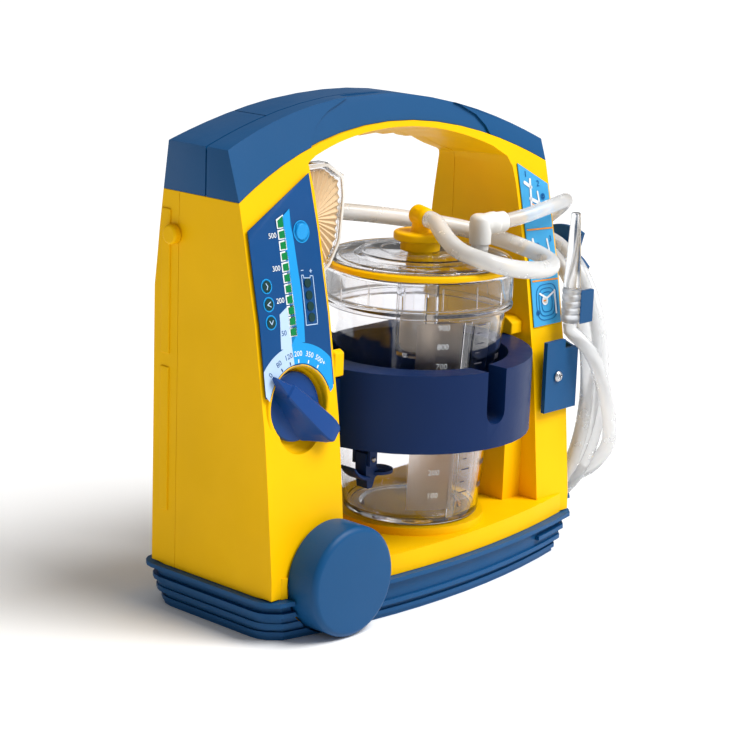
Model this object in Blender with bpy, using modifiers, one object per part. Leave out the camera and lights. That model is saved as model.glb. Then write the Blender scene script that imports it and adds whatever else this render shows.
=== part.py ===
"""Portable battery-powered suction unit with a reusable collection canister.

The design frame is in millimetres: X to the right, Y to the back, Z up, with X = 0 on the
middle of the housing and Z = 0 on the floor. Every sub-part hangs under the empty
"unit_frame", which scales to metres and puts the middle of the whole unit on the origin.
"""

import math

import bmesh
import bpy
from mathutils import Matrix, Vector

MM = 0.001
GAP = 0.3

# Where the middle of the unit's plan lies in the design frame.
MIDDLE_X = 23.0
MIDDLE_Y = -19.75

# Housing
HALF_WIDTH = 139.0
REAR_Y = 47.5
SEAM_Y = 26.5
WALL = 2.6
FOOT_Z = 8.0
SKIRT_Z = 26.7
DECK_Z = 40.0
OPENING_LEFT = -77.5
OPENING_RIGHT = 106.0
SHOULDER_Z = 259.0
ARCH_RISE = 35.0
COVER_RISE = 310.8
COVER_LEAN = -0.0554
COVER_BOW = -0.001558
COVER_WALL = 3.0

# Column front and rear seen from the side: (z, y) from the floor to the top of the handle
FRONT_PROFILE = (
    (0.0, -58.5), (40.0, -57.5), (62.0, -55.5), (100.0, -52.0), (128.0, -49.0), (155.0, -44.5),
    (190.0, -39.0), (216.0, -33.3), (237.0, -29.0), (259.0, -24.0), (288.0, -14.0), (307.0, -7.5),
)
REAR_PROFILE = (
    (0.0, REAR_Y), (200.0, REAR_Y), (217.0, 45.5), (236.0, 43.5), (259.0, 40.5), (288.0, 36.5),
    (307.0, 30.0),
)

# Base plan: an arched front and round corners
BASE_FRONT_Y = -73.5
BASE_CORNER_Y = -58.0
BASE_REAR_Y = 51.0
BASE_CORNER = 14.0

# Canister, holder and lid share this axis
CAN_X = 20.6
CAN_Y = -21.6
PEDESTAL_Z = 45.0
CAN_BOTTOM_Z = 45.3
CAN_BOTTOM_R = 43.0
CAN_TOP_R = 56.0
CAN_TOP_Z = 184.0
CAN_WALL = 2.0
LID_SKIRT_Z = 180.0
LID_TOP_Z = 210.0
LID_R = 59.3
BOSS_TOP_Z = 213.0
PORT_PLATE_Z = 225.0
PATIENT_PORT = (65.5, -32.5)
ELBOW_OUT = (0.975, -0.22, 0.05)
BARB = (CAN_X, CAN_Y, 234.5)
BARB_OUT = (-0.15, -0.98, -0.12)
HOLDER_X = 20.0
HOLDER_Y = -16.0
HOLDER_R = 78.5
HOLDER_BORE = 58.5
HOLDER_REAR_Y = 44.0
HOLDER_LOW = 101.0
HOLDER_HIGH = 150.0
SLOT_X = 15.0
SLOT_WIDTH = 16.0
SLOT_FLOOR_Z = 116.0

# Pivot of the release lever under the holder (x, z), and the middle of its width
LEVER = (-46.0, 95.0)
LEVER_Y = -42.2

# Selector knob on the left column's front
KNOB = (-110.0, -47.2, 139.0)
FACE_TILT = math.radians(9.5)
KNOB_R = 21.0
KNOB_REST = math.radians(47)
BUTTON_X = -94.8
BUTTON_Z = 239.0

# Round cap at the lower left
CAP = (-92.0, 34.6)
CAP_R = 34.3
CAP_FRONT_Y = -80.5
CAP_REAR_Y = -57.0

# Middle of the pump's shaft in the right column
PUMP = (122.5, -3.0)

# Battery door in the rear wall of the left column
DOOR_LEFT = -133.0
DOOR_RIGHT = -84.0
DOOR_LOW = 57.0
DOOR_HIGH = 130.0
DOOR_PIVOT_Y = 45.9
DOOR_PIVOT_Z = 60.0

# Filter in the opening, against the left column
FILTER_X = -50.5
FILTER_Y = 5.0
FILTER_Z = 233.0

# Tubes
VAC_R = 5.5
PAT_R = 4.75

# Suction tip, wound tubing and the screw of its holder
TIP = (136.5, -53.5)
COIL_LEFT = 144.5
COIL_RIGHT = 184.0
COIL_MID = (-4.0, 110.0)
COIL_HALF = (52.0, 90.0)
SCREW_X = 121.5
SCREW_Z = 122.0

parts = bpy.data.collections.new("suction_unit")
cutters = bpy.data.collections.new("cutters")
materials = {}


def clear_scene():
    for obj in list(bpy.data.objects):
        bpy.data.objects.remove(obj)
    for collection in (parts, cutters):
        bpy.context.scene.collection.children.link(collection)


def material(name, rgb, roughness, metallic=0.0, transmission=0.0):
    made = bpy.data.materials.new(name)
    made.use_nodes = True
    shader = made.node_tree.nodes["Principled BSDF"]
    shader.inputs["Base Color"].default_value = (*rgb, 1.0)
    shader.inputs["Roughness"].default_value = roughness
    shader.inputs["Metallic"].default_value = metallic
    shader.inputs["Transmission Weight"].default_value = transmission
    made.diffuse_color = (*rgb, 1.0)
    materials[name] = made


def make_materials():
    material("yellow_abs", (1.0, 0.62, 0.0), 0.42)
    material("blue_rubber", (0.03, 0.12, 0.30), 0.55)
    material("navy_abs", (0.02, 0.04, 0.14), 0.45)
    material("panel_blue", (0.0, 0.07, 0.30), 0.35)
    material("label_cyan", (0.05, 0.40, 0.80), 0.40)
    material("clear_plastic", (0.92, 0.93, 0.95), 0.05, transmission=1.0)
    material("silicone", (0.90, 0.88, 0.82), 0.30, transmission=0.5)
    material("white_plastic", (0.90, 0.89, 0.86), 0.40)
    material("cream_plastic", (0.85, 0.72, 0.52), 0.50)
    material("grey_plastic", (0.45, 0.47, 0.50), 0.50)
    material("green_led", (0.0, 0.25, 0.05), 0.25)
    material("steel", (0.62, 0.62, 0.64), 0.30, metallic=1.0)
    material("circuit_green", (0.02, 0.20, 0.08), 0.50)
    material("black_plastic", (0.02, 0.02, 0.02), 0.50)


# Helpers: every length is in millimetres


def place(obj, material_name, collection=parts):
    collection.objects.link(obj)
    if material_name:
        obj.data.materials.append(materials[material_name])
    if collection is cutters:
        obj.hide_render = True
        obj.display_type = "WIRE"
    return obj


def finish(obj, angle=35):
    if obj.type == "MESH":
        obj.data.shade_smooth()
        obj.data.set_sharp_from_angle(angle=math.radians(angle))
    return obj


def from_bmesh(name, bm, material_name, collection):
    bmesh.ops.recalc_face_normals(bm, faces=bm.faces)
    if bm.calc_volume(signed=True) < 0:
        bmesh.ops.reverse_faces(bm, faces=bm.faces)
    mesh = bpy.data.meshes.new(name)
    bm.to_mesh(mesh)
    bm.free()
    return place(bpy.data.objects.new(name, mesh), material_name, collection)


def box(name, low, high, material_name=None, bevel=0.0, collection=parts):
    bm = bmesh.new()
    size = [b - a for a, b in zip(low, high)]
    middle = [(a + b) / 2 for a, b in zip(low, high)]
    bmesh.ops.create_cube(bm, size=1, matrix=Matrix.LocRotScale(middle, None, size))
    obj = from_bmesh(name, bm, material_name, collection)
    if bevel:
        round_edges(obj, bevel)
    return obj


def round_edges(obj, width, segments=2, angle=40):
    bevel = obj.modifiers.new("rounded", "BEVEL")
    bevel.width = width
    bevel.segments = segments
    bevel.limit_method = "ANGLE"
    bevel.angle_limit = math.radians(angle)


def along(axis, origin):
    """The matrix that takes a shape made along +Z to the named axis."""
    turns = {
        "Z": Matrix.Identity(4),
        "X": Matrix.Rotation(math.pi / 2, 4, "Y"),
        "-X": Matrix.Rotation(-math.pi / 2, 4, "Y"),
        "Y": Matrix.Rotation(-math.pi / 2, 4, "X"),
        "-Y": Matrix.Rotation(math.pi / 2, 4, "X"),
    }
    return Matrix.Translation(origin) @ turns[axis]


def cylinder(name, radius, length, origin, axis="Z", material_name=None, top=None, sides=32,
             collection=parts):
    """A cylinder or cone from its origin along its axis."""
    bm = bmesh.new()
    bmesh.ops.create_cone(
        bm, cap_ends=True, segments=sides, radius1=radius,
        radius2=radius if top is None else top, depth=length,
        matrix=along(axis, origin) @ Matrix.Translation((0, 0, length / 2)),
    )
    return from_bmesh(name, bm, material_name, collection)


def turned(name, profile, origin, axis="Z", material_name=None, steps=48, collection=parts):
    """A closed (radius, height) outline turned about the axis through origin."""
    following = profile[1:] + profile[:1]
    if sum(a[0] * b[1] - b[0] * a[1] for a, b in zip(profile, following)) > 0:
        profile = profile[::-1]
    mesh = bpy.data.meshes.new(name)
    points = [(r, 0, h) for r, h in profile]
    closes = profile[0][0] > 0 or profile[-1][0] > 0
    edges = [(i, i + 1) for i in range(len(points) - 1)]
    if closes:
        edges.append((len(points) - 1, 0))
    mesh.from_pydata(points, edges, [])
    obj = place(bpy.data.objects.new(name, mesh), material_name, collection)
    obj.matrix_world = along(axis, origin)
    screw = obj.modifiers.new("turned", "SCREW")
    screw.steps = steps
    screw.render_steps = steps
    screw.use_merge_vertices = True
    screw.merge_threshold = 0.0001
    screw.use_smooth_shade = True
    return obj


def prism(name, outline, axis, low, high, material_name=None, collection=parts):
    """A flat outline given thickness from low to high along X, Y or Z.

    Outline points are (y, z) for X, (x, z) for Y and (x, y) for Z.
    """
    curve = bpy.data.curves.new(name, "CURVE")
    curve.dimensions = "2D"
    curve.fill_mode = "BOTH"
    curve.extrude = (high - low) / 2
    spline = curve.splines.new("POLY")
    spline.points.add(len(outline) - 1)
    for point, (a, b) in zip(spline.points, outline):
        point.co = (a, b, 0, 1)
    spline.use_cyclic_u = True
    middle = (low + high) / 2
    frames = {
        "Z": Matrix.Translation((0, 0, middle)),
        "Y": Matrix.Translation((0, middle, 0)) @ Matrix.Rotation(math.pi / 2, 4, "X"),
        "X": Matrix(((0, 0, 1, middle), (1, 0, 0, 0), (0, 1, 0, 0), (0, 0, 0, 1))),
    }
    return curve_to_mesh(name, curve, frames[axis], material_name, collection)


def curve_to_mesh(name, curve, matrix, material_name, collection):
    helper = bpy.data.objects.new(name + "_curve", curve)
    bpy.context.scene.collection.objects.link(helper)
    graph = bpy.context.evaluated_depsgraph_get()
    mesh = bpy.data.meshes.new_from_object(helper.evaluated_get(graph))
    bpy.data.objects.remove(helper)
    bm = bmesh.new()
    bm.from_mesh(mesh)
    bmesh.ops.remove_doubles(bm, verts=bm.verts, dist=0.001)
    bm.transform(matrix)
    bpy.data.meshes.remove(mesh)
    return from_bmesh(name, bm, material_name, collection)


def tube(name, points, radius, material_name, resolution=3, collection=parts):
    curve = bpy.data.curves.new(name, "CURVE")
    curve.dimensions = "3D"
    curve.bevel_depth = radius
    curve.bevel_resolution = resolution
    curve.use_fill_caps = True
    spline = curve.splines.new("POLY")
    spline.points.add(len(points) - 1)
    for point, place_at in zip(spline.points, points):
        point.co = (*place_at, 1)
    return place(bpy.data.objects.new(name, curve), material_name, collection)


def loft(name, sections, material_name=None, collection=parts):
    """A closed solid through rings with the same number of points."""
    bm = bmesh.new()
    rings = [[bm.verts.new(p) for p in ring] for ring in sections]
    count = len(rings[0])
    for ring, above in zip(rings, rings[1:]):
        for i in range(count):
            j = (i + 1) % count
            bm.faces.new((ring[i], ring[j], above[j], above[i]))
    bm.faces.new(rings[0])
    bm.faces.new(rings[-1])
    return from_bmesh(name, bm, material_name, collection)


def boolean(obj, tool, operation):
    change = obj.modifiers.new(operation.lower() + "_" + tool.name, "BOOLEAN")
    change.operation = operation
    change.object = tool
    return obj


def cut(obj, tool):
    return boolean(obj, tool, "DIFFERENCE")


def join(obj, tool):
    return boolean(obj, tool, "UNION")


def keep(obj, tool):
    return boolean(obj, tool, "INTERSECT")


def baked(obj):
    """The object with its modifiers worked into its mesh."""
    graph = bpy.context.evaluated_depsgraph_get()
    mesh = bpy.data.meshes.new_from_object(obj.evaluated_get(graph))
    obj.modifiers.clear()
    obj.data = mesh
    return obj


def smooth_route(points, step):
    """Points about step apart on a smooth curve through the given points."""
    vectors = [Vector(p) for p in points]
    ends = [2 * vectors[0] - vectors[1], 2 * vectors[-1] - vectors[-2]]
    padded = [ends[0], *vectors, ends[1]]
    route = []
    for a, b, c, d in zip(padded, padded[1:], padded[2:], padded[3:]):
        count = max(1, round((c - b).length / step))
        for i in range(count):
            t = i / count
            route.append(
                0.5 * ((2 * b) + (c - a) * t + (2 * a - 5 * b + 4 * c - d) * t * t
                       + (3 * b - a - 3 * c + d) * t ** 3)
            )
    route.append(vectors[-1])
    return route


# Outlines


def profile_y(profile, z):
    for (z0, y0), (z1, y1) in zip(profile, profile[1:]):
        if z <= z1:
            return y0 + (y1 - y0) * (z - z0) / (z1 - z0)
    return profile[-1][1]


def front_y(z):
    return profile_y(FRONT_PROFILE, z)


def side_outline(inset=0.0, top=320.0):
    """(y, z) outline of the columns and handle seen from the side."""
    front = [(y + inset, z) for z, y in FRONT_PROFILE if z < top]
    rear = [(y - inset, z) for z, y in reversed(REAR_PROFILE) if z < top]
    front_top = (front_y(top) + inset, top)
    rear_top = (profile_y(REAR_PROFILE, top) - inset, top)
    return front + [front_top, rear_top] + rear


def shoulder_z(x):
    """Height of the line where the yellow housing meets the blue cover."""
    return SHOULDER_Z + ARCH_RISE * (1 - (x / HALF_WIDTH) ** 2)


def crest_z(x):
    """Height of the cover's front crease."""
    return COVER_RISE + COVER_LEAN * x + COVER_BOW * x * x


def arch_xs(half=HALF_WIDTH, count=20):
    return [half * math.sin(math.pi / 2 * (2 * i / count - 1)) for i in range(count + 1)]


def housing_outline(inset=0.0):
    """(x, z) outline of the yellow housing seen from the front."""
    half = HALF_WIDTH - inset
    low = SKIRT_Z + 1.0
    top = [(x, shoulder_z(x) - inset) for x in arch_xs(half)]
    return [(half, low), (-half, low)] + top


def opening_ring(y, corner, left_drop=0.0, right_drop=0.0, ripple=0.0):
    """(x, y, z) ring of the opening: the arch is lowered by the drops and may be rippled."""
    ring = [(OPENING_RIGHT, y, DECK_Z), (OPENING_LEFT, y, DECK_Z), (OPENING_LEFT, y, 276.0 - left_drop)]
    span = 174.0
    for i in range(1, 24):
        x = OPENING_LEFT + span * i / 24
        share = min(max((x - 10.0) / 60.0, 0.0), 1.0)
        drop = left_drop + (right_drop - left_drop) * share
        wave = ripple * math.sin(2 * math.pi * x / 22.0) if -30.0 < x < 78.0 else 0.0
        ring.append((x, y, shoulder_z(x) - 3.0 - 3.2 * (x / 80) ** 2 - drop + wave))
    return ring + [(x, y, z) for x, z in corner]


def base_outline(inset=0.0, rounding=BASE_CORNER):
    """(x, y) outline of the base in plan, with an arched front and round corners."""
    half = HALF_WIDTH - inset
    corner = max(rounding - inset, 2.0)
    front_corner = BASE_CORNER_Y + inset
    points = []
    reach = half - corner * 0.6
    for i in range(13):
        x = -reach + 2 * reach * i / 12
        rise = (BASE_CORNER_Y - BASE_FRONT_Y) * (1 - (x / reach) ** 2)
        points.append((x, front_corner - rise))
    for i in range(1, 5):
        angle = math.radians(-70 + 70 * i / 4)
        points.append((half - corner + corner * math.cos(angle),
                       front_corner + corner + corner * math.sin(angle)))
    rear = BASE_REAR_Y - inset
    for i in range(5):
        angle = math.radians(90 * i / 4)
        points.append((half - corner + corner * math.cos(angle),
                       rear - corner + corner * math.sin(angle)))
    for i in range(5):
        angle = math.radians(90 + 90 * i / 4)
        points.append((-half + corner + corner * math.cos(angle),
                       rear - corner + corner * math.sin(angle)))
    for i in range(4):
        angle = math.radians(180 + 70 * i / 4)
        points.append((-half + corner + corner * math.cos(angle),
                       front_corner + corner + corner * math.sin(angle)))
    return points


# Housing


def housing_body():
    """The whole yellow outside shape with its hollow, before it is parted at the seam."""
    body = prism("housing_front_view", housing_outline(), "Y", -70, 70, collection=cutters)
    side = prism("housing_side_view", side_outline(), "X", -150, 150, collection=cutters)
    keep(body, side)
    opening = loft(
        "opening_cutter",
        [
            opening_ring(-75.0, ((101.5, 267.0), (104.8, 260.0), (OPENING_RIGHT, 249.0)), -2.0, -2.0),
            opening_ring(-15.0, ((101.5, 265.0), (104.8, 258.0), (OPENING_RIGHT, 247.0))),
            opening_ring(30.0, ((103.0, 262.5), (105.2, 261.0), (OPENING_RIGHT, 258.5)), 11.0, 5.5, 1.1),
            opening_ring(75.0, ((103.0, 262.5), (105.2, 261.0), (OPENING_RIGHT, 258.5)), 9.0, 5.5, 1.1),
        ],
        collection=cutters,
    )
    cut(body, opening)
    base = prism("base_top", base_outline(), "Z", SKIRT_Z + GAP, DECK_Z, collection=cutters)
    join(body, base)
    skirt = prism("base_skirt", base_outline(4.0), "Z", FOOT_Z, SKIRT_Z + 3, collection=cutters)
    join(body, skirt)
    pedestal = cylinder("pedestal", 47.0, 8.0, (CAN_X, CAN_Y, PEDESTAL_Z - 8), sides=40,
                        collection=cutters)
    join(body, pedestal)
    guide = box("guide_rib", (89.0, -42.0, DECK_Z - 2), (109.0, -20.0, HOLDER_LOW - 0.5),
                collection=cutters)
    join(body, guide)
    return baked(body)


def column_hollow(name, low_x, high_x, top):
    hollow = prism(name, side_outline(WALL, top), "X", low_x, high_x, collection=cutters)
    floor = box(name + "_floor", (-200, -70, -5), (200, 70, DECK_Z - WALL - 4), collection=cutters)
    return baked(cut(hollow, floor))


def knob_recess():
    recess = cylinder("knob_recess", KNOB_R + 2.0, 12.0, (0, 0, -8.0), collection=cutters)
    recess.matrix_world = knob_frame()
    scoop = cylinder("knob_scoop", 15.0, 14.0, (-11.0, 0, -8.0), top=20.0, collection=cutters)
    scoop.matrix_world = knob_frame()
    return recess, scoop


def knob_frame():
    """Local Z points out of the tilted front face and local X points up it."""
    out = Vector((0, -math.cos(FACE_TILT), math.sin(FACE_TILT)))
    up = Vector((0, math.sin(FACE_TILT), math.cos(FACE_TILT)))
    side = out.cross(up)
    turn = Matrix((up, side, out)).transposed().to_4x4()
    return Matrix.Translation(KNOB) @ turn


def housings():
    body = housing_body()
    left = column_hollow("left_hollow", -HALF_WIDTH + WALL, OPENING_LEFT - WALL, 258.0)
    right = column_hollow("right_hollow", OPENING_RIGHT + WALL, HALF_WIDTH - WALL, 250.0)
    under = prism("base_hollow", base_outline(4.0 + WALL), "Z", FOOT_Z + WALL, DECK_Z - WALL,
                  collection=cutters)
    for hollow in (left, right, under):
        cut(body, hollow)
    for tool in rear_openings():
        cut(body, tool)
    cut(body, cylinder("filter_port_hole", 4.8, 20.0, (OPENING_LEFT - 10, FILTER_Y, FILTER_Z), "X",
                       sides=24, collection=cutters))
    baked(body)

    front_half = box("front_half", (-200, -120, -20), (200, SEAM_Y, 340), collection=cutters)
    rear_half = box("rear_half", (-200, SEAM_Y + GAP, -20), (200, 120, 340), collection=cutters)
    front = bpy.data.objects.new("front_housing", body.data.copy())
    rear = bpy.data.objects.new("rear_housing", body.data.copy())
    for shell, half in ((front, front_half), (rear, rear_half)):
        place(shell, "yellow_abs")
        keep(shell, half)
    recess, scoop = knob_recess()
    cut(front, recess)
    cut(front, scoop)
    cut(front, cylinder("switch_hole", 5.0, 30.0, (0, 0, -20.0), collection=cutters))
    bpy.data.objects["switch_hole"].matrix_world = knob_frame()
    cut(front, cylinder("test_hole", 5.6, 20.0, (BUTTON_X, -35.0, BUTTON_Z), "Y", collection=cutters))
    cut(front, cylinder("cap_boss_hole", 9.0, 40.0, (CAP[0], -75.0, CAP[1]), "Y",
                        collection=cutters))
    cut(front, cylinder("cap_seat", CAP_R + 1.0, 40.0, (CAP[0], CAP_REAR_Y - 39.5, CAP[1]), "Y",
                        sides=40, collection=cutters))
    for obj in (front, rear):
        finish(baked(obj), 30)
    bpy.data.objects.remove(body)
    return front, rear


def rear_openings():
    """Cutters for the battery door with its hinge, its latch, and the power inlet."""
    door = box("door_opening", (DOOR_LEFT, 40.0, DOOR_LOW), (DOOR_RIGHT, 60.0, DOOR_HIGH),
               collection=cutters)
    latch = box("latch_opening", (-129.0, 40.0, 139.0), (-93.0, 60.0, 152.5), collection=cutters)
    hinge = cylinder("hinge_pin_hole", 1.1, DOOR_RIGHT - DOOR_LEFT + 6.0,
                     (DOOR_LEFT - 3.0, DOOR_PIVOT_Y, DOOR_PIVOT_Z), "X", sides=16, collection=cutters)
    inlet = box("inlet_opening", (113.0, 40.0, 62.0), (131.0, 60.0, 80.0), collection=cutters)
    return door, latch, hinge, inlet


def handle_cover():
    top = [(x, crest_z(x)) for x in arch_xs()]
    under = [(x, shoulder_z(x) + GAP) for x in reversed(arch_xs())]
    cover = prism("handle_cover", top + under, "Y", -70, 70, "blue_rubber")
    keep(cover, prism("cover_side_view", cover_section(), "X", -150, 150, collection=cutters))
    inner = HALF_WIDTH - COVER_WALL
    top = [(x, crest_z(x) - COVER_WALL) for x in arch_xs(inner)]
    under = [(x, shoulder_z(x) - 4) for x in reversed(arch_xs(inner))]
    hollow = prism("cover_hollow", top + under, "Y", -70, 70, collection=cutters)
    keep(hollow, prism("cover_hollow_side", cover_section(COVER_WALL), "X", -150, 150,
                       collection=cutters))
    cut(cover, hollow)
    grip = prism("palm_grip", palm_outline(), "Y", -70, 2, collection=cutters)
    cut(grip, prism("palm_depth", cover_section(1.7), "X", -150, 150, collection=cutters))
    cut(cover, baked(grip))
    return finish(baked(cover), 35)


def palm_outline():
    """(x, z) outline of the shallow palm area in the cover's front."""
    return [(-73.0, 250.0), (-72.5, 284.0), (-69.0, 291.5), (-65.0, 296.0), (-59.0, 300.3),
            (-52.0, 304.0), (-39.0, 308.5), (-26.0, 313.0), (24.0, 314.0), (48.0, 307.0),
            (67.0, 299.4), (80.0, 292.6), (87.0, 285.3), (90.0, 279.0), (91.0, 250.0)]


def cover_section(inset=0.0):
    """(y, z) outline of the handle cover across the handle."""
    return [(-24.4 + inset, 250.0), (-24.0 + inset, 259.0), (-14.0 + inset, 288.0),
            (-7.5 + inset, 307.0), (-5.8 + inset, 312.0 - inset), (26.0 - inset, 312.0 - inset),
            (30.0 - inset, 307.0), (36.5 - inset, 288.0), (40.5 - inset, 259.0), (41.0 - inset, 250.0)]


def base_bumper():
    """A soft bumper with three lips; it draws in and rounds off towards the floor."""
    bumper = prism("base_bumper", base_outline(0.2), "Z", FOOT_Z, SKIRT_Z, "blue_rubber")
    levels = ((24.0, SKIRT_Z, -4.6, 8.0), (0.0, FOOT_Z + 1.0, 2.2, 19.0), (9.2, 12.0, -1.4, 16.0),
              (3.0, 5.6, 0.6, 19.0))
    for number, (low, high, inset, rounding) in enumerate(levels):
        join(bumper, prism(f"bumper_level_{number}", base_outline(inset, rounding), "Z", low, high,
                           collection=cutters))
    corners = prism("corner_lip", base_outline(-2.8, 14.0), "Z", 16.0, 18.8, collection=cutters)
    cut(corners, box("corner_lip_gap", (-96.0, -120.0, 0.0), (98.0, -20.0, 40.0), collection=cutters))
    join(bumper, baked(corners))
    cut(bumper, prism("bumper_well", base_outline(4.0 - GAP), "Z", FOOT_Z - GAP, 40.0,
                      collection=cutters))
    cut(bumper, prism("bumper_floor", base_outline(18.0, 30.0), "Z", -5.0, 20.0, collection=cutters))
    cut(bumper, cylinder("cap_clearance", CAP_R + 1.0, 60.0, (CAP[0], CAP_REAR_Y - 59.5, CAP[1]), "Y",
                         sides=40, collection=cutters))
    return finish(baked(bumper), 35)


def round_cap():
    x, z = CAP
    deep = CAP_REAR_Y - CAP_FRONT_Y
    turned("round_cap", [(0.0, deep), (30.5, deep), (CAP_R - 0.6, deep - 1.1), (CAP_R, deep - 3.5),
                         (CAP_R, 0.0), (0.0, 0.0)], (x, CAP_REAR_Y, z), "-Y", "blue_rubber")
    cylinder("cap_boss", 8.6, 18.0, (x, CAP_REAR_Y + GAP, z), "Y", "yellow_abs")


def battery_bay():
    """The pack, its hinged door with a finger recess, and the blue latch above the door."""
    box("battery_pack", (DOOR_LEFT + 2, -12.0, 50.0), (DOOR_RIGHT - 1, 40.0, 126.0), "black_plastic", 1.0)
    left, right = DOOR_LEFT + 0.6, DOOR_RIGHT - 0.6
    door = box("battery_door", (left, 45.0, DOOR_LOW + 0.8), (right, REAR_Y, DOOR_HIGH - 0.5),
               "yellow_abs")
    recess = cylinder("finger_recess", 20.0, 34.0, (-125.5, REAR_Y + 18.5, 116.0), "X", collection=cutters)
    cut(door, recess)
    barrel = cylinder("door_barrel", 2.2, right - left, (left, DOOR_PIVOT_Y - 0.7, DOOR_PIVOT_Z), "X",
                      sides=20, collection=cutters)
    join(door, barrel)
    bore = cylinder("door_bore", 1.1, 80.0, (left - 10, DOOR_PIVOT_Y, DOOR_PIVOT_Z), "X", sides=16,
                    collection=cutters)
    cut(door, bore)
    finish(baked(door))
    cylinder("door_hinge_pin", 0.8, DOOR_RIGHT - DOOR_LEFT + 4.0,
             (DOOR_LEFT - 2.0, DOOR_PIVOT_Y, DOOR_PIVOT_Z), "X", "steel", sides=16)
    latch = box("battery_latch", (-134.0, REAR_Y + GAP, 132.0), (-88.0, REAR_Y + 3.6, 153.0),
                "blue_rubber", 0.8)
    stem = box("latch_stem", (-127.0, 42.0, 140.5), (-95.0, REAR_Y + 2, 147.5), collection=cutters)
    join(latch, stem)
    finish(baked(latch))


def strap_studs():
    for name, side, sign in (("strap_stud_left", "-X", -1), ("strap_stud_right", "X", 1)):
        start = (sign * (HALF_WIDTH + GAP), 30.0, 233.5)
        turned(name, [(0.0, 5.0), (5.0, 5.0), (6.0, 4.0), (6.0, 0.0), (0.0, 0.0)], start, side,
               "yellow_abs", 32)


# Control panel


def front_sheet(name, left, right, low, left_top, right_top, out, thick, material_name):
    """A thin sheet that follows the bent front face, out from it, with a sloping top edge."""
    heights = [z for z, _ in FRONT_PROFILE if low + 1 < z < min(left_top, right_top) - 1]
    sheet = bmesh.new()
    rows = [low, *heights]
    edges = []
    for x, top in ((left, left_top), (right, right_top)):
        edges.append([sheet.verts.new((x, front_y(z) - out, z)) for z in [*rows, top]])
    for i in range(len(rows)):
        sheet.faces.new((edges[0][i], edges[1][i], edges[1][i + 1], edges[0][i + 1]))
    label = from_bmesh(name, sheet, material_name, parts)
    thicken = label.modifiers.new("thickness", "SOLIDIFY")
    thicken.thickness = thick
    thicken.offset = 0.0
    return label


def control_panel():
    label = front_sheet("control_panel_label", -137.0, -81.0, 148.0, 243.5, 271.0, 1.7, 0.8,
                        "panel_blue")
    hole = cylinder("label_knob_hole", KNOB_R + 3.0, 30.0, (0, 0, -10.0), collection=cutters)
    hole.matrix_world = knob_frame()
    cut(label, hole)
    button = cylinder("label_test_hole", 6.0, 30.0, (BUTTON_X, -45.0, BUTTON_Z), "Y", collection=cutters)
    cut(label, button)
    finish(baked(label))


def panel_lights():
    front_sheet("vacuum_gauge_lenses", -114.0, -108.0, 180.5, 248.0, 250.5, 2.9, 0.8, "green_led")
    front_sheet("status_lenses", -131.0, -125.0, 187.0, 215.0, 215.0, 2.9, 0.8, "green_led")
    front_sheet("battery_lenses", -97.5, -92.0, 186.5, 212.5, 212.5, 2.9, 0.8, "green_led")


def test_button():
    turned("test_button", [(0.0, 0.0), (4.6, 0.0), (5.0, 0.5), (5.0, 7.0), (0.0, 7.0)],
           (BUTTON_X, front_y(BUTTON_Z) - 3.4, BUTTON_Z), "Y", "label_cyan", 32)


# Selector knob and switch


def selector_knob():
    knob = cylinder("selector_knob", KNOB_R, 8.6, (0, 0, -4.5), material_name="blue_rubber", sides=48)
    round_edges(knob, 1.0)
    wing = prism("knob_wing", [(-24.5, -8.5), (-26.5, -6.0), (-26.5, 6.0), (-24.5, 8.5), (0.0, 9.5),
                               (12.0, 7.5), (22.0, 3.5), (30.0, 0.8), (30.0, -0.8), (22.0, -3.5),
                               (12.0, -7.5), (0.0, -9.5)], "Z", 2.6, 16.0, collection=cutters)
    slope = box("wing_slope", (4.0, -20.0, 12.0), (50.0, 20.0, 40.0), collection=cutters)
    slope.matrix_world = Matrix.Rotation(math.radians(22), 4, "Y")
    cut(wing, slope)
    join(knob, baked(wing))
    cut(knob, cylinder("knob_bore", 2.4, 9.0, (0, 0, -8.0), sides=16, collection=cutters))
    baked(knob)
    knob.matrix_world = knob_frame() @ Matrix.Rotation(KNOB_REST, 4, "Z")
    return finish(knob)


def rotary_switch():
    switch = cylinder("rotary_switch", 11.0, 14.0, (0, 0, -30.0), material_name="black_plastic")
    cut(switch, cylinder("switch_bore", 2.3, 30.0, (0, 0, -27.0), sides=16, collection=cutters))
    baked(switch).matrix_world = knob_frame()
    shaft = cylinder("switch_shaft", 2.0, 25.0, (0, 0, -26.5), material_name="steel", sides=16)
    shaft.matrix_world = knob_frame()


# Canister group


def can_radius(z):
    t = (z - CAN_BOTTOM_Z) / (CAN_TOP_Z - CAN_BOTTOM_Z)
    return CAN_BOTTOM_R + (CAN_TOP_R - CAN_BOTTOM_R) * t


def canister():
    low, high, wall = CAN_BOTTOM_Z, CAN_TOP_Z, CAN_WALL
    profile = [
        (0.0, low + wall), (can_radius(low) - wall - 2, low + wall),
        (can_radius(low) - wall, low + wall + 2), (can_radius(high) - wall, high),
        (can_radius(high), high), (can_radius(low) + 0.2, low + 2), (can_radius(low) - 1.5, low),
        (0.0, low),
    ]
    turned("canister_body", profile[::-1], (CAN_X, CAN_Y, 0), "Z", "clear_plastic", 56)


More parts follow.
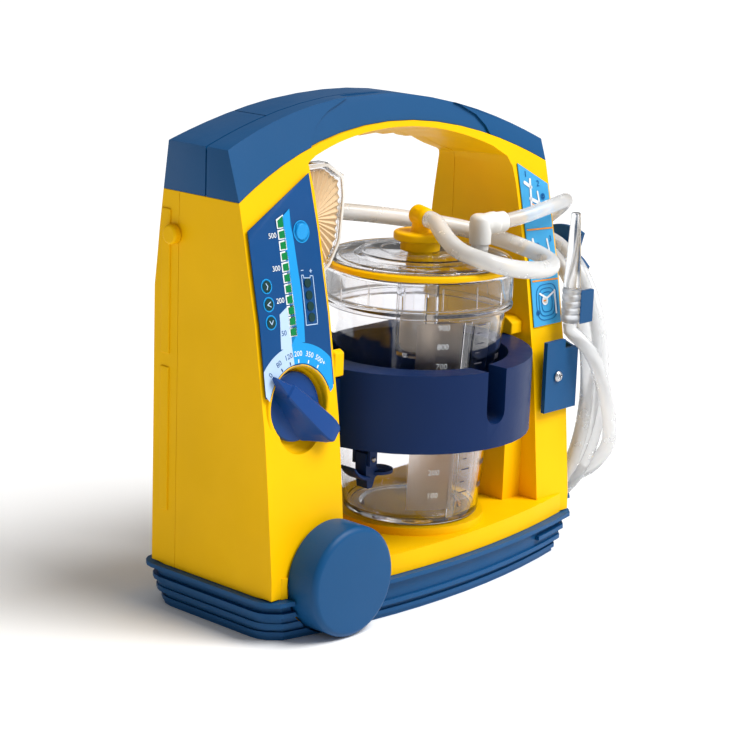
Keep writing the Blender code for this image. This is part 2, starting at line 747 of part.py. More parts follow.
def canister_lid():
    low, top, boss, r = LID_SKIRT_Z, LID_TOP_Z, BOSS_TOP_Z, LID_R
    outer = [(0.0, boss), (38.0, boss), (41.0, top + 0.5), (r - 2.0, top), (r - 1.2, top - 1.0),
             (r - 1.2, 207.4), (r - 4.0, 207.4), (r - 4.0, 205.2), (r - 0.6, 204.6), (r, 203.0),
             (r, low + 1), (r - 0.8, low)]
    inner = [(r - 3.0, low), (r - 3.0, CAN_TOP_Z + 1), (r - 4.5, CAN_TOP_Z + 2), (r - 6.2, 202.0),
             (r - 8.0, top - 2.4), (40.0, top - 2.0), (36.5, boss - 2.2), (0.0, boss - 2.2)]
    lid = baked(turned("canister_lid", outer + inner, (CAN_X, CAN_Y, 0), "Z", "clear_plastic", 56))
    cut(lid, cylinder("vacuum_port_hole", 9.0, 20.0, (CAN_X, CAN_Y, 203.0), collection=cutters))
    cut(lid, cylinder("patient_port_hole", 6.0, 30.0, PATIENT_PORT[:2] + (197.0,), sides=24,
                      collection=cutters))
    baked(lid)


def lid_fittings():
    r = LID_R
    turned("lid_seal_ring", [(r - 0.2, 207.1), (r + 0.8, 206.6), (r + 0.8, 205.4), (r - 0.2, 204.9),
                             (r - 3.6, 205.5), (r - 3.6, 207.1)], (CAN_X, CAN_Y, 0), "Z", "yellow_abs", 56)
    plate = PORT_PLATE_Z
    cap = baked(turned(
        "vacuum_port_cap",
        [(0.0, plate), (16.0, plate), (17.0, plate - 1.0), (17.0, plate - 4.6), (16.0, plate - 5.4),
         (12.5, plate - 5.4), (12.5, BOSS_TOP_Z + GAP), (8.6, BOSS_TOP_Z + GAP), (8.6, 198.0),
         (0.0, 198.0)],
        (CAN_X, CAN_Y, 0), "Z", "yellow_abs", 40))
    x, y, z = BARB
    join(cap, cylinder("barb_post", 5.6, z - plate + 2, (x, y, plate - 1), sides=24, collection=cutters))
    head = cylinder("barb_head", 6.4, 10.6, (0, 0, -4.0), sides=24, collection=cutters)
    head.matrix_world = aimed(BARB, BARB_OUT)
    join(cap, head)
    cut(cap, cylinder("vacuum_bore", 2.6, 34.0, (x, y, 190.0), sides=16, collection=cutters))
    baked(cap)


def aimed(origin, direction):
    """The matrix that turns local Z to the direction, at the origin."""
    return Matrix.Translation(origin) @ Vector(direction).to_track_quat("Z", "Y").to_matrix().to_4x4()


def float_parts():
    x, y = CAN_X, CAN_Y
    cage = baked(turned("float_cage", [(13.4, 197.6), (13.4, 146.0), (12.0, 146.0), (12.0, 195.6),
                                       (3.5, 195.6), (3.5, 197.6)], (x, y, 0), "Z", "clear_plastic", 32))
    for side in range(3):
        window = box(f"cage_window_{side}", (0, -5, 154), (30, 5, 188), collection=cutters)
        window.matrix_world = Matrix.Translation((x, y, 0)) @ Matrix.Rotation(
            math.radians(30 + 120 * side), 4, "Z")
        cut(cage, window)
    sill = turned("cage_sill", [(12.5, 148.5), (12.5, 146.0), (6.0, 146.0), (6.0, 148.5)], (x, y, 0),
                  "Z", steps=32, collection=cutters)
    join(cage, sill)
    baked(cage)
    turned("float_valve", [(0.0, 176.0), (7.0, 176.0), (11.0, 173.0), (11.0, 152.0), (9.0, 149.0),
                           (0.0, 149.0)], (x, y, 0), "Z", "cream_plastic", 32)


def patient_elbow():
    x, y = PATIENT_PORT
    top, foot = 232.5, BOSS_TOP_Z + GAP
    elbow = baked(turned("patient_elbow", [(0.0, top), (4.0, top), (6.4, top - 2.0), (7.2, top - 5.0),
                                           (6.9, foot), (5.6, foot), (5.6, 198.0), (0.0, 198.0)],
                         (x, y, 0), "Z", "white_plastic", 32))
    arm = cylinder("elbow_arm", 6.9, 19.0, (0, 0, 0), sides=24, collection=cutters)
    arm.matrix_world = aimed((x, y, 225.6), ELBOW_OUT)
    join(elbow, arm)
    bore = cylinder("elbow_bore", 3.0, 40.0, (x, y, 190.0), sides=16, collection=cutters)
    cut(elbow, bore)
    finish(baked(elbow))


# Holder


def holder_outline(radius):
    points = []
    for i in range(40):
        angle = 2 * math.pi * i / 40
        points.append((HOLDER_X + radius * math.cos(angle), HOLDER_Y + radius * math.sin(angle)))
    return points


def canister_holder():
    ring = prism("canister_holder", holder_outline(HOLDER_R), "Z", HOLDER_LOW, HOLDER_HIGH, "navy_abs")
    low, high = HOLDER_LOW + 6, HOLDER_HIGH - 6
    join(ring, box("left_arm", (OPENING_LEFT + GAP, -30.0, low), (-40.0, 12.0, high), collection=cutters))
    join(ring, box("right_arm", (80.0, -18.0, low), (OPENING_RIGHT - GAP, 20.0, high),
                   collection=cutters))
    cut(ring, cylinder("holder_bore", HOLDER_BORE, 80.0, (CAN_X, CAN_Y, 90.0), sides=56,
                       collection=cutters))
    cut(ring, box("holder_back", (-100, HOLDER_REAR_Y, 90), (140, 100, 170), collection=cutters))
    half = SLOT_WIDTH / 2
    slot = [(half, 60.0), (-half, 60.0)]
    for i in range(9):
        angle = math.pi + math.pi * i / 8
        slot.append((half * math.cos(angle), half + half * math.sin(angle)))
    tool = prism("holder_slot", [(SLOT_X + x, SLOT_FLOOR_Z + z) for x, z in slot], "Y", -120.0, -60.0,
                 collection=cutters)
    cut(ring, tool)
    x, z = LEVER
    for side, y in enumerate((LEVER_Y - 7.4, LEVER_Y + 5.2)):
        join(ring, box(f"lever_lug_{side}", (x - 3.2, y, z - 4), (x + 3.2, y + 2.2, HOLDER_LOW + 3),
                       collection=cutters))
    cut(ring, cylinder("lug_bore", 1.8, 30.0, (x, LEVER_Y - 15, z), "Y", sides=16, collection=cutters))
    finish(baked(ring))


def holder_hooks():
    low = HOLDER_HIGH + GAP
    left = prism("holder_hook_left", [(-44.0, low), (-34.0, low), (-34.0, 158.0), (-40.0, 167.0),
                                      (-44.0, 165.0)], "X", OPENING_LEFT + GAP, OPENING_LEFT + 9.0,
                 "yellow_abs")
    right = prism("holder_hook_right", [(-38.0, low), (-22.0, low), (-22.0, 161.0), (-33.0, 161.0),
                                        (-38.0, 158.0)], "X", 95.0, OPENING_RIGHT - GAP, "yellow_abs")
    for hook in (left, right):
        round_edges(hook, 1.0)


def release_lever():
    x, z = LEVER
    cylinder("release_lever_pin", 1.5, 16.0, (x, LEVER_Y - 8.0, z), "Y", "steel", sides=16)
    fin = [(-3.4, 3.4), (-3.4, -9.0), (-1.5, -19.0), (2.5, -19.0), (5.0, -13.0), (8.0, -11.4),
           (14.0, -11.4), (14.0, -9.2), (8.0, -8.0), (3.4, -3.0), (3.4, 3.4)]
    lever = prism("release_lever", [(x + a, z + b) for a, b in fin], "Y", LEVER_Y - 4.6, LEVER_Y + 4.6,
                  "navy_abs")
    paddle = cylinder("lever_paddle", 9.5, 2.0, (x + 12.0, LEVER_Y, z - 11.2), sides=28,
                      collection=cutters)
    join(lever, paddle)
    cut(lever, cylinder("lever_bore", 1.9, 30.0, (x, LEVER_Y - 15, z), "Y", sides=16,
                        collection=cutters))
    finish(baked(lever))


# Filter


def filter_outline(shrink=0.0):
    """(x, z) outline: eight corners, wider towards the top."""
    half = [(9.0, 38.0), (23.5, 29.0), (25.2, 17.0), (22.5, -12.0), (13.5, -27.0), (6.0, -32.0)]
    corners = half + [(-a, b) for a, b in reversed(half)]
    return [(FILTER_X + a * (1 - shrink / 25), FILTER_Z + b * (1 - shrink / 38)) for a, b in corners]


def filter_parts():
    y = FILTER_Y
    housing = prism("filter_housing", filter_outline(), "Y", y - 4.0, y + 4.0, "clear_plastic")
    window = prism("filter_window", filter_outline(2.0), "Y", y - 6.0, y + 2.6, collection=cutters)
    cut(housing, window)
    back = cylinder("filter_back_boss", 7.5, 9.0, (FILTER_X, y + 3.0, FILTER_Z), "Y", collection=cutters)
    join(housing, back)
    cut(housing, cylinder("filter_bore", 3.4, 20.0, (FILTER_X, y, FILTER_Z), "Y", sides=20,
                          collection=cutters))
    finish(baked(housing))
    prism("filter_media", filter_outline(2.8), "Y", y - 3.4, y + 2.2, "cream_plastic")
    cylinder("filter_spigot", 4.2, 11.0, (OPENING_LEFT - 9.0, y, FILTER_Z), "X", "white_plastic",
             sides=24)


# Tubes


VAC_ROUTE = (
    (19.5, -28.7, 233.6), (18.4, -35.8, 232.7), (14.5, -43.5, 229.4), (10.8, -54.5, 223.8),
    (9.6, -66.0, 219.6), (12.0, -78.0, 217.0), (19.5, -87.0, 213.8), (33.0, -91.0, 210.4),
    (50.0, -89.5, 207.4), (69.0, -83.5, 204.6), (86.0, -75.0, 203.0), (97.5, -65.0, 203.0),
    (101.5, -53.5, 205.2), (98.0, -40.0, 209.0), (90.0, -26.5, 213.4), (79.0, -15.0, 217.6),
    (62.0, -5.0, 222.0), (38.0, 4.5, 227.0), (15.0, 12.5, 231.0), (-9.0, 20.0, 234.5),
    (-27.0, 28.0, 236.0), (-39.5, 32.0, 235.6), (-47.5, 29.5, 234.4), (-50.4, 24.0, 233.2),
    (-50.5, 17.5, 233.0),
)

TIP_ROUTE = (
    (136.5, -53.5, 155.0), (136.5, -54.0, 150.2), (138.5, -60.0, 145.4), (142.0, -65.0, 139.0),
    (147.5, -67.5, 130.0), (154.5, -68.0, 117.5), (161.0, -68.0, 104.0), (167.0, -67.0, 90.0),
    (172.5, -64.2, 77.0), (176.0, -60.0, 64.0),
)

PAT_ROUTE = (
    (84.6, -36.85, 226.6), (93.0, -38.7, 227.6), (104.0, -40.6, 229.4), (118.0, -42.2, 232.0),
    (132.0, -42.2, 234.2), (144.0, -38.5, 234.0), (151.0, -29.5, 228.5), (152.0, -18.0, 219.5),
    (151.5, -8.0, 211.5),
)


def coil_oval(extra):
    """(y, z) outline of the wound tubing, extra outside the middle of the tube."""
    mid_y, mid_z = COIL_MID
    half_y, half_z = COIL_HALF
    points = []
    for i in range(48):
        angle = 2 * math.pi * i / 48
        points.append((mid_y + (half_y + extra) * math.cos(angle),
                       mid_z + (half_z + extra) * math.sin(angle)))
    return points


def tubes():
    tube("vacuum_tube", smooth_route(VAC_ROUTE, 22.0), VAC_R, "silicone")
    tube("patient_tube", smooth_route(PAT_ROUTE, 18.0), PAT_R, "silicone")
    tube("tip_tube", smooth_route(TIP_ROUTE, 18.0), PAT_R, "silicone")
    coil = prism("patient_tube_coil", coil_oval(PAT_R), "X", COIL_LEFT, COIL_RIGHT, "silicone")
    cut(coil, prism("coil_hole", coil_oval(-PAT_R), "X", COIL_LEFT - 5, COIL_RIGHT + 5, collection=cutters))
    baked(coil)


# Tubing holder


def saddle_arc(outside, inside, low, span):
    """(y, z) band between two ovals of the coil, over span degrees from low."""
    mid_y, mid_z = COIL_MID
    half_y, half_z = COIL_HALF
    band = []
    for extra, order in ((outside, 1), (inside, -1)):
        edge = []
        for i in range(9):
            angle = math.radians(low + span * i / 8)
            edge.append((mid_y + (half_y + extra) * math.cos(angle),
                         mid_z + (half_z + extra) * math.sin(angle)))
        band += edge[::order]
    return band


def tubing_holder():
    """Plate on the column's front, side plate, and an upper and a lower saddle for the coil."""
    front = front_y(98.5) - 2.0
    wall = HALF_WIDTH + 0.6
    end = COIL_RIGHT + 6.0
    holder = box("tubing_holder", (109.5, front - 3.0, 98.5), (wall + 2.6, front, 146.0), "blue_rubber")
    side = prism("holder_side", [(front - 2.0, 99.5), (front - 2.0, 138.5), (-20.0, 150.0),
                                 (-20.0, 165.0), (24.0, 165.0), (24.0, 60.0), (-20.0, 60.0),
                                 (-20.0, 78.0)], "X", wall + 0.2, wall + 2.4, collection=cutters)
    cut(holder, box("tube_notch", (128.5, front - 20.0, 139.6), (160.0, front + 10.0, 160.0),
                    collection=cutters))
    join(holder, side)
    for number, low in enumerate((60, 240)):
        saddle = prism(f"saddle_{number}", saddle_arc(-7.0, -9.6, low, 60), "X", wall + 0.8, end,
                       collection=cutters)
        lip = prism(f"saddle_lip_{number}", saddle_arc(8.0, -8.6, low + 14, 32), "X", end - 2.6,
                    end + 0.3, collection=cutters)
        arm_low, arm_high = ((150.0, 191.8), (28.2, 75.0))[number]
        arm = box(f"saddle_arm_{number}", (wall + 0.4, -14.0, arm_low), (wall + 2.8, 12.0, arm_high),
                  collection=cutters)
        for tool in (saddle, lip, arm):
            join(holder, tool)
    cut(holder, cylinder("holder_screw_hole", 1.9, 20.0, (SCREW_X, front - 10.0, SCREW_Z), "Y", sides=16,
                         collection=cutters))
    finish(baked(holder))
    turned("tubing_holder_screw", [(0.0, 2.0), (2.2, 1.7), (3.6, 0.6), (3.6, 0.0), (1.5, 0.0),
                                   (1.5, -4.6), (0.0, -4.6)], (SCREW_X, front - 3.0 - GAP, SCREW_Z), "-Y",
           "steel", 24)


def tip_connector():
    """Tapered suction tip in its grey collar, and the blue clip that holds the collar."""
    x, y = TIP
    turned("tip_connector", [(0.0, 229.0), (2.4, 229.0), (2.9, 228.4), (5.2, 182.0), (5.2, 178.3),
                             (0.0, 178.3)], (x, y, 0), "Z", "clear_plastic", 24)
    turned("tip_collar", [(0.0, 178.0), (6.2, 178.0), (6.2, 157.0), (5.4, 155.8), (0.0, 155.8)],
           (x, y, 0), "Z", "grey_plastic", 24)
    clip = box("tip_clip", (x + 2.0, y - 6.4, 155.0), (x + 16.0, y - 2.9, 177.0), "blue_rubber", 0.6)
    cut(clip, cylinder("clip_bore", 6.5, 60.0, (x, y, 130.0), sides=24, collection=cutters))
    finish(baked(clip))


# Inside


def pump():
    """Motor, crank, rod, diaphragm and head, one above the other in the right column."""
    x, y = PUMP
    cylinder("pump_motor", 12.0, 46.0, (x, y, 92.0), "Z", "steel")
    cylinder("motor_shaft", 2.0, 25.0, (x, y, 138.3), "Z", "steel", sides=16)
    eccentric = cylinder("eccentric", 7.0, 8.0, (x - 1.6, y, 148.0), "Z", "steel", sides=28)
    cut(eccentric, cylinder("eccentric_bore", 2.3, 20.0, (x, y, 140.0), sides=16, collection=cutters))
    baked(eccentric)
    rod = prism("connecting_rod", [(x - 11.5, -16.0), (x + 11.5, -16.0), (x + 11.5, y + 11.0),
                                   (x + 3.0, y + 14.0), (x - 3.0, y + 14.0), (x - 11.5, y + 11.0)], "Z",
                149.0, 155.0, "grey_plastic")
    cut(rod, cylinder("rod_bore", 9.3, 20.0, (x, y, 142.0), sides=28, collection=cutters))
    baked(rod)
    cylinder("pump_diaphragm", 12.0, 2.0, (x, y + 14.4, 152.0), "Y", "black_plastic")
    head = box("pump_head", (x - 12.6, y + 16.8, 138.0), (x + 12.6, y + 33.0, 166.0), "grey_plastic", 1.0)
    cut(head, cylinder("head_chamber", 9.0, 12.0, (x, y + 12.0, 152.0), "Y", collection=cutters))
    cut(head, cylinder("head_port", 2.5, 60.0, (x, y + 22.0, 152.0), sides=16, collection=cutters))
    baked(head)


def electronics():
    box("circuit_board", (-133.0, -14.0, 158.0), (-83.0, -12.4, 200.0), "circuit_green")
    inlet = box("power_inlet", (113.6, 36.0, 62.6), (130.4, REAR_Y + 1.0, 79.4), "black_plastic", 0.5)
    cut(inlet, box("inlet_hollow", (117.0, 39.0, 66.0), (127.0, 60.0, 76.0), collection=cutters))
    baked(inlet)


def pictogram_label():
    label = front_sheet("pictogram_label", 109.0, 136.6, 154.5, 260.0, 244.5, 0.8, 0.8, "label_cyan")
    baked(label)


def housing_screws():
    spots = ((-125.0, 200.0), (-92.0, 200.0), (122.0, 200.0), (122.0, 100.0))
    for number, (x, z) in enumerate(spots, 1):
        cylinder(f"housing_screw_{number}", 3.0, 2.0, (x, REAR_Y + GAP, z), "Y", "steel", sides=16)


def parent_all():
    frame = bpy.data.objects.new("unit_frame", None)
    parts.objects.link(frame)
    for obj in list(parts.objects) + list(cutters.objects):
        if obj is not frame:
            obj.parent = frame
    frame.scale = (MM, MM, MM)
    frame.location = (-MIDDLE_X * MM, -MIDDLE_Y * MM, 0)


clear_scene()
make_materials()
housings()
handle_cover()
base_bumper()
round_cap()
battery_bay()
strap_studs()
control_panel()
panel_lights()
test_button()
selector_knob()
rotary_switch()
canister()
canister_lid()
lid_fittings()
float_parts()
patient_elbow()
canister_holder()
holder_hooks()
release_lever()
filter_parts()
tubes()
tubing_holder()
tip_connector()
pump()
electronics()
pictogram_label()
housing_screws()
parent_all()
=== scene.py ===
"""Looks of the portable suction unit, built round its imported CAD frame.

Lengths are written in millimetres in the design frame (X right, Y back, Z up, X = 0 on the
middle of the housing). TO_FRAME turns them into the metres of the shared frame.
"""
import math

import bmesh
import bpy
from mathutils import Matrix, Vector


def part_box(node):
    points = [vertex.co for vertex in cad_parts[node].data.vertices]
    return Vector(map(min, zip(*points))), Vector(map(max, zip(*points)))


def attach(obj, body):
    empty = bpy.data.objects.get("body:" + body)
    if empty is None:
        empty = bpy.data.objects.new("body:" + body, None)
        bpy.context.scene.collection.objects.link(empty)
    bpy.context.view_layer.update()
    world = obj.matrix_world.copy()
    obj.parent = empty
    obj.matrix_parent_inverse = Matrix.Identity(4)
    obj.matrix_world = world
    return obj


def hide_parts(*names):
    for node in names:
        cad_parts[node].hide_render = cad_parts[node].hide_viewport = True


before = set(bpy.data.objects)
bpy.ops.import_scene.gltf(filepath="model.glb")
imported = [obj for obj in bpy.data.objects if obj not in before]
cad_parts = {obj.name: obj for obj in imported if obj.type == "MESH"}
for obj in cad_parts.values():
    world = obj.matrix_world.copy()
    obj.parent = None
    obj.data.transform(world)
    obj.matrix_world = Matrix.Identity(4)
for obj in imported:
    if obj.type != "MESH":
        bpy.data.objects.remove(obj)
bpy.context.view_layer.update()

MM = 0.001
MIDDLE = Vector((23.0, -19.75, 0.0))
TO_FRAME = Matrix.Diagonal((MM, MM, MM, 1.0)) @ Matrix.Translation(-MIDDLE)

FRONT_PROFILE = (
    (0.0, -58.5), (40.0, -57.5), (62.0, -55.5), (100.0, -52.0), (128.0, -49.0), (155.0, -44.5),
    (190.0, -39.0), (216.0, -33.3), (237.0, -29.0), (259.0, -24.0), (288.0, -14.0), (307.0, -7.5),
)
HALF_WIDTH = 139.0
CREST_Z, CREST_SLOPE, CREST_BEND = 310.8, -0.0554, -0.001558
CAN = (20.6, -21.6)
CAN_LOW, CAN_HIGH = 45.3, 184.0
CAN_BOTTOM_R, CAN_TOP_R = 43.0, 56.0
LID_R = 59.3
KNOB = (-110.0, -47.2, 139.0)
FACE_TILT = math.radians(9.5)
KNOB_REST = math.radians(47)
PATIENT_PORT = (65.5, -32.5)
BARB = (20.6, -21.6, 234.5)
BARB_OUT = (-0.15, -0.98, -0.12)
ELBOW_OUT = (0.975, -0.22, 0.05)
FILTER = (-50.5, 5.0, 233.0)
CAP = (-92.0, 34.6)
TIP = (136.5, -53.5)
VAC_R = 5.5
PAT_R = 4.75
COIL_MID = (-4.0, 110.0)
COIL_HALF = (52.0, 90.0)
# Merging the flat faces of these nodes would close the openings in them.
PIERCED = ("rear_housing",)
MERGE_ANGLE = math.radians(0.7)
WELD_DISTANCE = 0.00002


def at(x, y, z):
    return TO_FRAME @ Vector((x, y, z))


def spoke(radius, angle, height):
    """A point at a radius and an angle round local Z."""
    return Vector((radius * math.cos(angle), radius * math.sin(angle), height))


# Camera, light and floor


def camera():
    azimuth, elevation, roll = (math.radians(a) for a in (47.38, 14.134, 1.996))
    forward = Vector((math.sin(azimuth) * math.cos(elevation),
                      math.cos(azimuth) * math.cos(elevation), -math.sin(elevation)))
    right = Vector((math.cos(azimuth), -math.sin(azimuth), 0.0))
    up = right.cross(forward)
    rolled = right * math.cos(roll) + up * math.sin(roll)
    risen = up * math.cos(roll) - right * math.sin(roll)
    data = bpy.data.cameras.new("camera")
    data.lens = 109.3
    data.sensor_width = 36.0
    data.clip_start = 0.05
    data.clip_end = 60.0
    eye = bpy.data.objects.new("camera", data)
    turn = Matrix((rolled, risen, -forward)).transposed().to_4x4()
    eye.matrix_world = Matrix.Translation(at(-1028.6, -952.5, 484.3)) @ turn
    bpy.context.scene.collection.objects.link(eye)
    bpy.context.scene.camera = eye


def softbox(name, place, aim, power, size):
    data = bpy.data.lights.new(name, "AREA")
    data.shape = "RECTANGLE"
    data.size, data.size_y = size
    data.energy = power
    lamp = bpy.data.objects.new(name, data)
    lamp.location = place
    lamp.rotation_euler = (Vector(aim) - Vector(place)).to_track_quat("-Z", "Y").to_euler()
    bpy.context.scene.collection.objects.link(lamp)


def studio():
    world = bpy.data.worlds.new("studio")
    world.use_nodes = True
    back = world.node_tree.nodes["Background"]
    back.inputs["Color"].default_value = (1.0, 1.0, 1.0, 1.0)
    back.inputs["Strength"].default_value = 0.30
    bpy.context.scene.world = world
    bpy.context.scene.view_settings.view_transform = "Standard"
    data = bpy.data.lights.new("key", "SUN")
    data.energy = 3.2
    data.angle = math.radians(34)
    key = bpy.data.objects.new("key", data)
    key.rotation_euler = Vector((-0.30, 0.50, -0.85)).to_track_quat("-Z", "Y").to_euler()
    bpy.context.scene.collection.objects.link(key)
    softbox("window", (1.1, -1.5, 1.3), (0.0, 0.0, 0.12), 9.0, (0.7, 1.1))
    bpy.ops.mesh.primitive_plane_add(size=60.0, location=(0.0, 0.0, 0.0))
    floor = bpy.context.object
    floor.name = "floor"
    floor.data.materials.append(floor_material())


# Materials


class Nodes:
    """A short way to add and link the nodes of one material."""

    def __init__(self, name):
        self.material = bpy.data.materials.new(name)
        self.material.use_nodes = True
        self.tree = self.material.node_tree
        self.shader = self.tree.nodes["Principled BSDF"]

    def add(self, kind, **inputs):
        node = self.tree.nodes.new(kind)
        for key, value in inputs.items():
            node.inputs[key.replace("_", " ")].default_value = value
        return node

    def link(self, source, target):
        self.tree.links.new(source, target)

    def noise(self, scale, detail=3.0, roughness=0.5):
        place = self.tree.nodes.new("ShaderNodeTexCoord")
        noise = self.add("ShaderNodeTexNoise", Scale=scale, Detail=detail, Roughness=roughness)
        self.link(place.outputs["Object"], noise.inputs["Vector"])
        return noise.outputs["Fac"]

    def ramp(self, value, low, high, start=0.0, end=1.0):
        """The value spread from start..end to low..high."""
        spread = self.add("ShaderNodeMapRange")
        spread.inputs["From Min"].default_value = start
        spread.inputs["From Max"].default_value = end
        spread.inputs["To Min"].default_value = low
        spread.inputs["To Max"].default_value = high
        self.link(value, spread.inputs["Value"])
        return spread.outputs["Result"]

    def mix(self, factor, one, two):
        blend = self.tree.nodes.new("ShaderNodeMix")
        blend.data_type = "RGBA"
        if isinstance(factor, float):
            blend.inputs["Factor"].default_value = factor
        else:
            self.link(factor, blend.inputs["Factor"])
        for socket, colour in ((6, one), (7, two)):
            if isinstance(colour, tuple):
                blend.inputs[socket].default_value = (*colour, 1.0)
            else:
                self.link(colour, blend.inputs[socket])
        return blend.outputs[2]

    def bump(self, height, strength, distance, under=None):
        made = self.add("ShaderNodeBump", Strength=strength, Distance=distance)
        self.link(height, made.inputs["Height"])
        if under is not None:
            self.link(under, made.inputs["Normal"])
        return made.outputs["Normal"]

    def set(self, **values):
        for key, value in values.items():
            self.shader.inputs[key.replace("_", " ")].default_value = value


def shade(colour, factor):
    return tuple(min(1.0, c * factor) for c in colour)


def plastic(name, colour, roughness, grain=0.12, specular=0.5):
    """Moulded plastic: fine spark-eroded grain, faint cloudy tone, rubbed and dusty patches."""
    made = Nodes(name)
    cloud = made.noise(9.0, 4.0)
    specks = made.noise(420.0, 2.0)
    patches = made.ramp(cloud, 0.0, 1.0, 0.35, 0.68)
    tone = made.mix(patches, shade(colour, 0.93), shade(colour, 1.05))
    worn = made.ramp(made.noise(34.0, 6.0, 0.7), 0.0, 0.16, 0.58, 0.80)
    made.link(made.mix(worn, tone, shade(colour, 1.25)), made.shader.inputs["Base Color"])
    rubbed = made.ramp(made.noise(26.0, 5.0, 0.6), roughness - 0.07, roughness + 0.09, 0.3, 0.72)
    made.link(rubbed, made.shader.inputs["Roughness"])
    fine = made.bump(specks, grain, 0.0003)
    finest = made.bump(made.noise(1900.0, 1.0), grain, 0.00012, fine)
    made.link(finest, made.shader.inputs["Normal"])
    made.set(Specular_IOR_Level=specular)
    return made.material


def printed(name, colour, roughness=0.32):
    """Printed polyester film: even colour with a faint tooth and handling marks."""
    made = Nodes(name)
    tone = made.mix(made.ramp(made.noise(40.0, 4.0), 0.0, 1.0, 0.3, 0.7), shade(colour, 0.95),
                    shade(colour, 1.05))
    made.link(tone, made.shader.inputs["Base Color"])
    handled = made.ramp(made.noise(70.0, 5.0), roughness - 0.06, roughness + 0.1)
    made.link(handled, made.shader.inputs["Roughness"])
    made.set(Specular_IOR_Level=0.25)
    made.link(made.bump(made.noise(1400.0, 1.0), 0.06, 0.0001), made.shader.inputs["Normal"])
    return made.material


def clear(name, tint, roughness=0.03, ior=1.46):
    """Clear moulded polycarbonate with slight waviness, smears and scuffs."""
    made = Nodes(name)
    smear = made.ramp(made.noise(45.0, 6.0, 0.65), roughness, roughness + 0.10, 0.52, 0.8)
    made.link(smear, made.shader.inputs["Roughness"])
    made.link(made.bump(made.noise(30.0, 2.0), 0.05, 0.001), made.shader.inputs["Normal"])
    tone = made.mix(made.ramp(made.noise(14.0), 0.0, 1.0, 0.4, 0.7), tint, shade(tint, 0.985))
    made.link(tone, made.shader.inputs["Base Color"])
    made.set(Transmission_Weight=1.0, IOR=ior)
    return made.material


def silicone(name, tint, transmission):
    """Soft clear-white tubing: milky, slightly tacky, with faint extrusion lines."""
    made = Nodes(name)
    tone = made.mix(made.ramp(made.noise(60.0, 4.0), 0.0, 1.0, 0.35, 0.7), tint, shade(tint, 0.96))
    made.link(tone, made.shader.inputs["Base Color"])
    made.link(made.ramp(made.noise(120.0, 4.0), 0.16, 0.34), made.shader.inputs["Roughness"])
    made.link(made.bump(made.noise(700.0, 2.0), 0.08, 0.0002), made.shader.inputs["Normal"])
    made.set(Transmission_Weight=transmission, IOR=1.41)
    return made.material


def metal(name, colour, roughness=0.3):
    """Zinc-plated or turned steel with fine scratches."""
    made = Nodes(name)
    streaks = made.ramp(made.noise(300.0, 5.0), 0.0, 1.0, 0.35, 0.7)
    tone = made.mix(streaks, shade(colour, 0.85), colour)
    made.link(tone, made.shader.inputs["Base Color"])
    scratched = made.ramp(made.noise(500.0, 4.0), roughness - 0.1, roughness + 0.15)
    made.link(scratched, made.shader.inputs["Roughness"])
    made.link(made.bump(made.noise(2500.0, 1.0), 0.1, 0.0001), made.shader.inputs["Normal"])
    made.set(Metallic=1.0)
    return made.material


def floor_material():
    made = Nodes("floor_paper")
    white = (0.98, 0.98, 0.98)
    made.link(made.mix(made.ramp(made.noise(3.0), 0.0, 1.0, 0.3, 0.7), white, shade(white, 1.015)),
              made.shader.inputs["Base Color"])
    made.link(made.ramp(made.noise(9.0), 0.75, 0.85), made.shader.inputs["Roughness"])
    made.set(Specular_IOR_Level=0.1)
    return made.material


YELLOW = plastic("yellow_abs", (0.95, 0.53, 0.0), 0.45, 0.10, 0.08)
BLUE = plastic("blue_soft", (0.003, 0.072, 0.205), 0.44, 0.14, 0.22)
NAVY = plastic("navy_abs", (0.002, 0.020, 0.095), 0.42, 0.12, 0.16)
KNOB_BLUE = plastic("knob_blue", (0.0, 0.048, 0.225), 0.34, 0.08, 0.32)
PANEL = printed("panel_film", (0.0, 0.058, 0.205))
PALE = printed("pale_print", (0.46, 0.62, 0.84))
CYAN = printed("cyan_print", (0.008, 0.31, 0.72))
LABEL = printed("label_print", (0.055, 0.37, 0.70))
LABEL_DARK = printed("dark_print", (0.012, 0.15, 0.42))
ORANGE = printed("orange_print", (0.85, 0.30, 0.012))
WHITE_INK = printed("white_ink", (0.83, 0.86, 0.88), 0.4)
NAVY_INK = printed("navy_ink", (0.01, 0.06, 0.2), 0.4)
GREY_INK = printed("grey_ink", (0.10, 0.10, 0.13), 0.45)
GREEN_DARK = printed("green_well", (0.0, 0.20, 0.05), 0.25)
LAMP_DARK = printed("lamp_well", (0.012, 0.045, 0.045), 0.2)
CLEAR = clear("clear_body", (0.965, 0.965, 0.985))
CLEAR_LID = clear("clear_lid", (0.96, 0.96, 0.98), 0.035)
FROST = clear("frosted_strip", (0.96, 0.89, 0.83), 0.30)
TIP_CLEAR = clear("tip_clear", (0.95, 0.95, 0.96), 0.22)
TIP_GREY = clear("tip_grey", (0.78, 0.80, 0.84), 0.3)
TUBING = silicone("tubing_white", (0.955, 0.95, 0.935), 0.40)
TUBING_CLEAR = silicone("tubing_clear", (0.97, 0.975, 0.98), 0.62)
WHITE = plastic("white_moulding", (0.86, 0.855, 0.83), 0.34, 0.05)
CREAM = plastic("cream_moulding", (0.96, 0.84, 0.68), 0.5, 0.08)
PAPER = plastic("filter_paper", (0.74, 0.56, 0.35), 0.72, 0.35, 0.2)
GREY = plastic("grey_moulding", (0.46, 0.48, 0.51), 0.4, 0.06)
BLACK = plastic("black_moulding", (0.018, 0.018, 0.019), 0.45, 0.1)
STEEL = metal("plated_steel", (0.62, 0.62, 0.64))
BOARD = printed("solder_mask", (0.012, 0.15, 0.06), 0.3)


# Mesh helpers


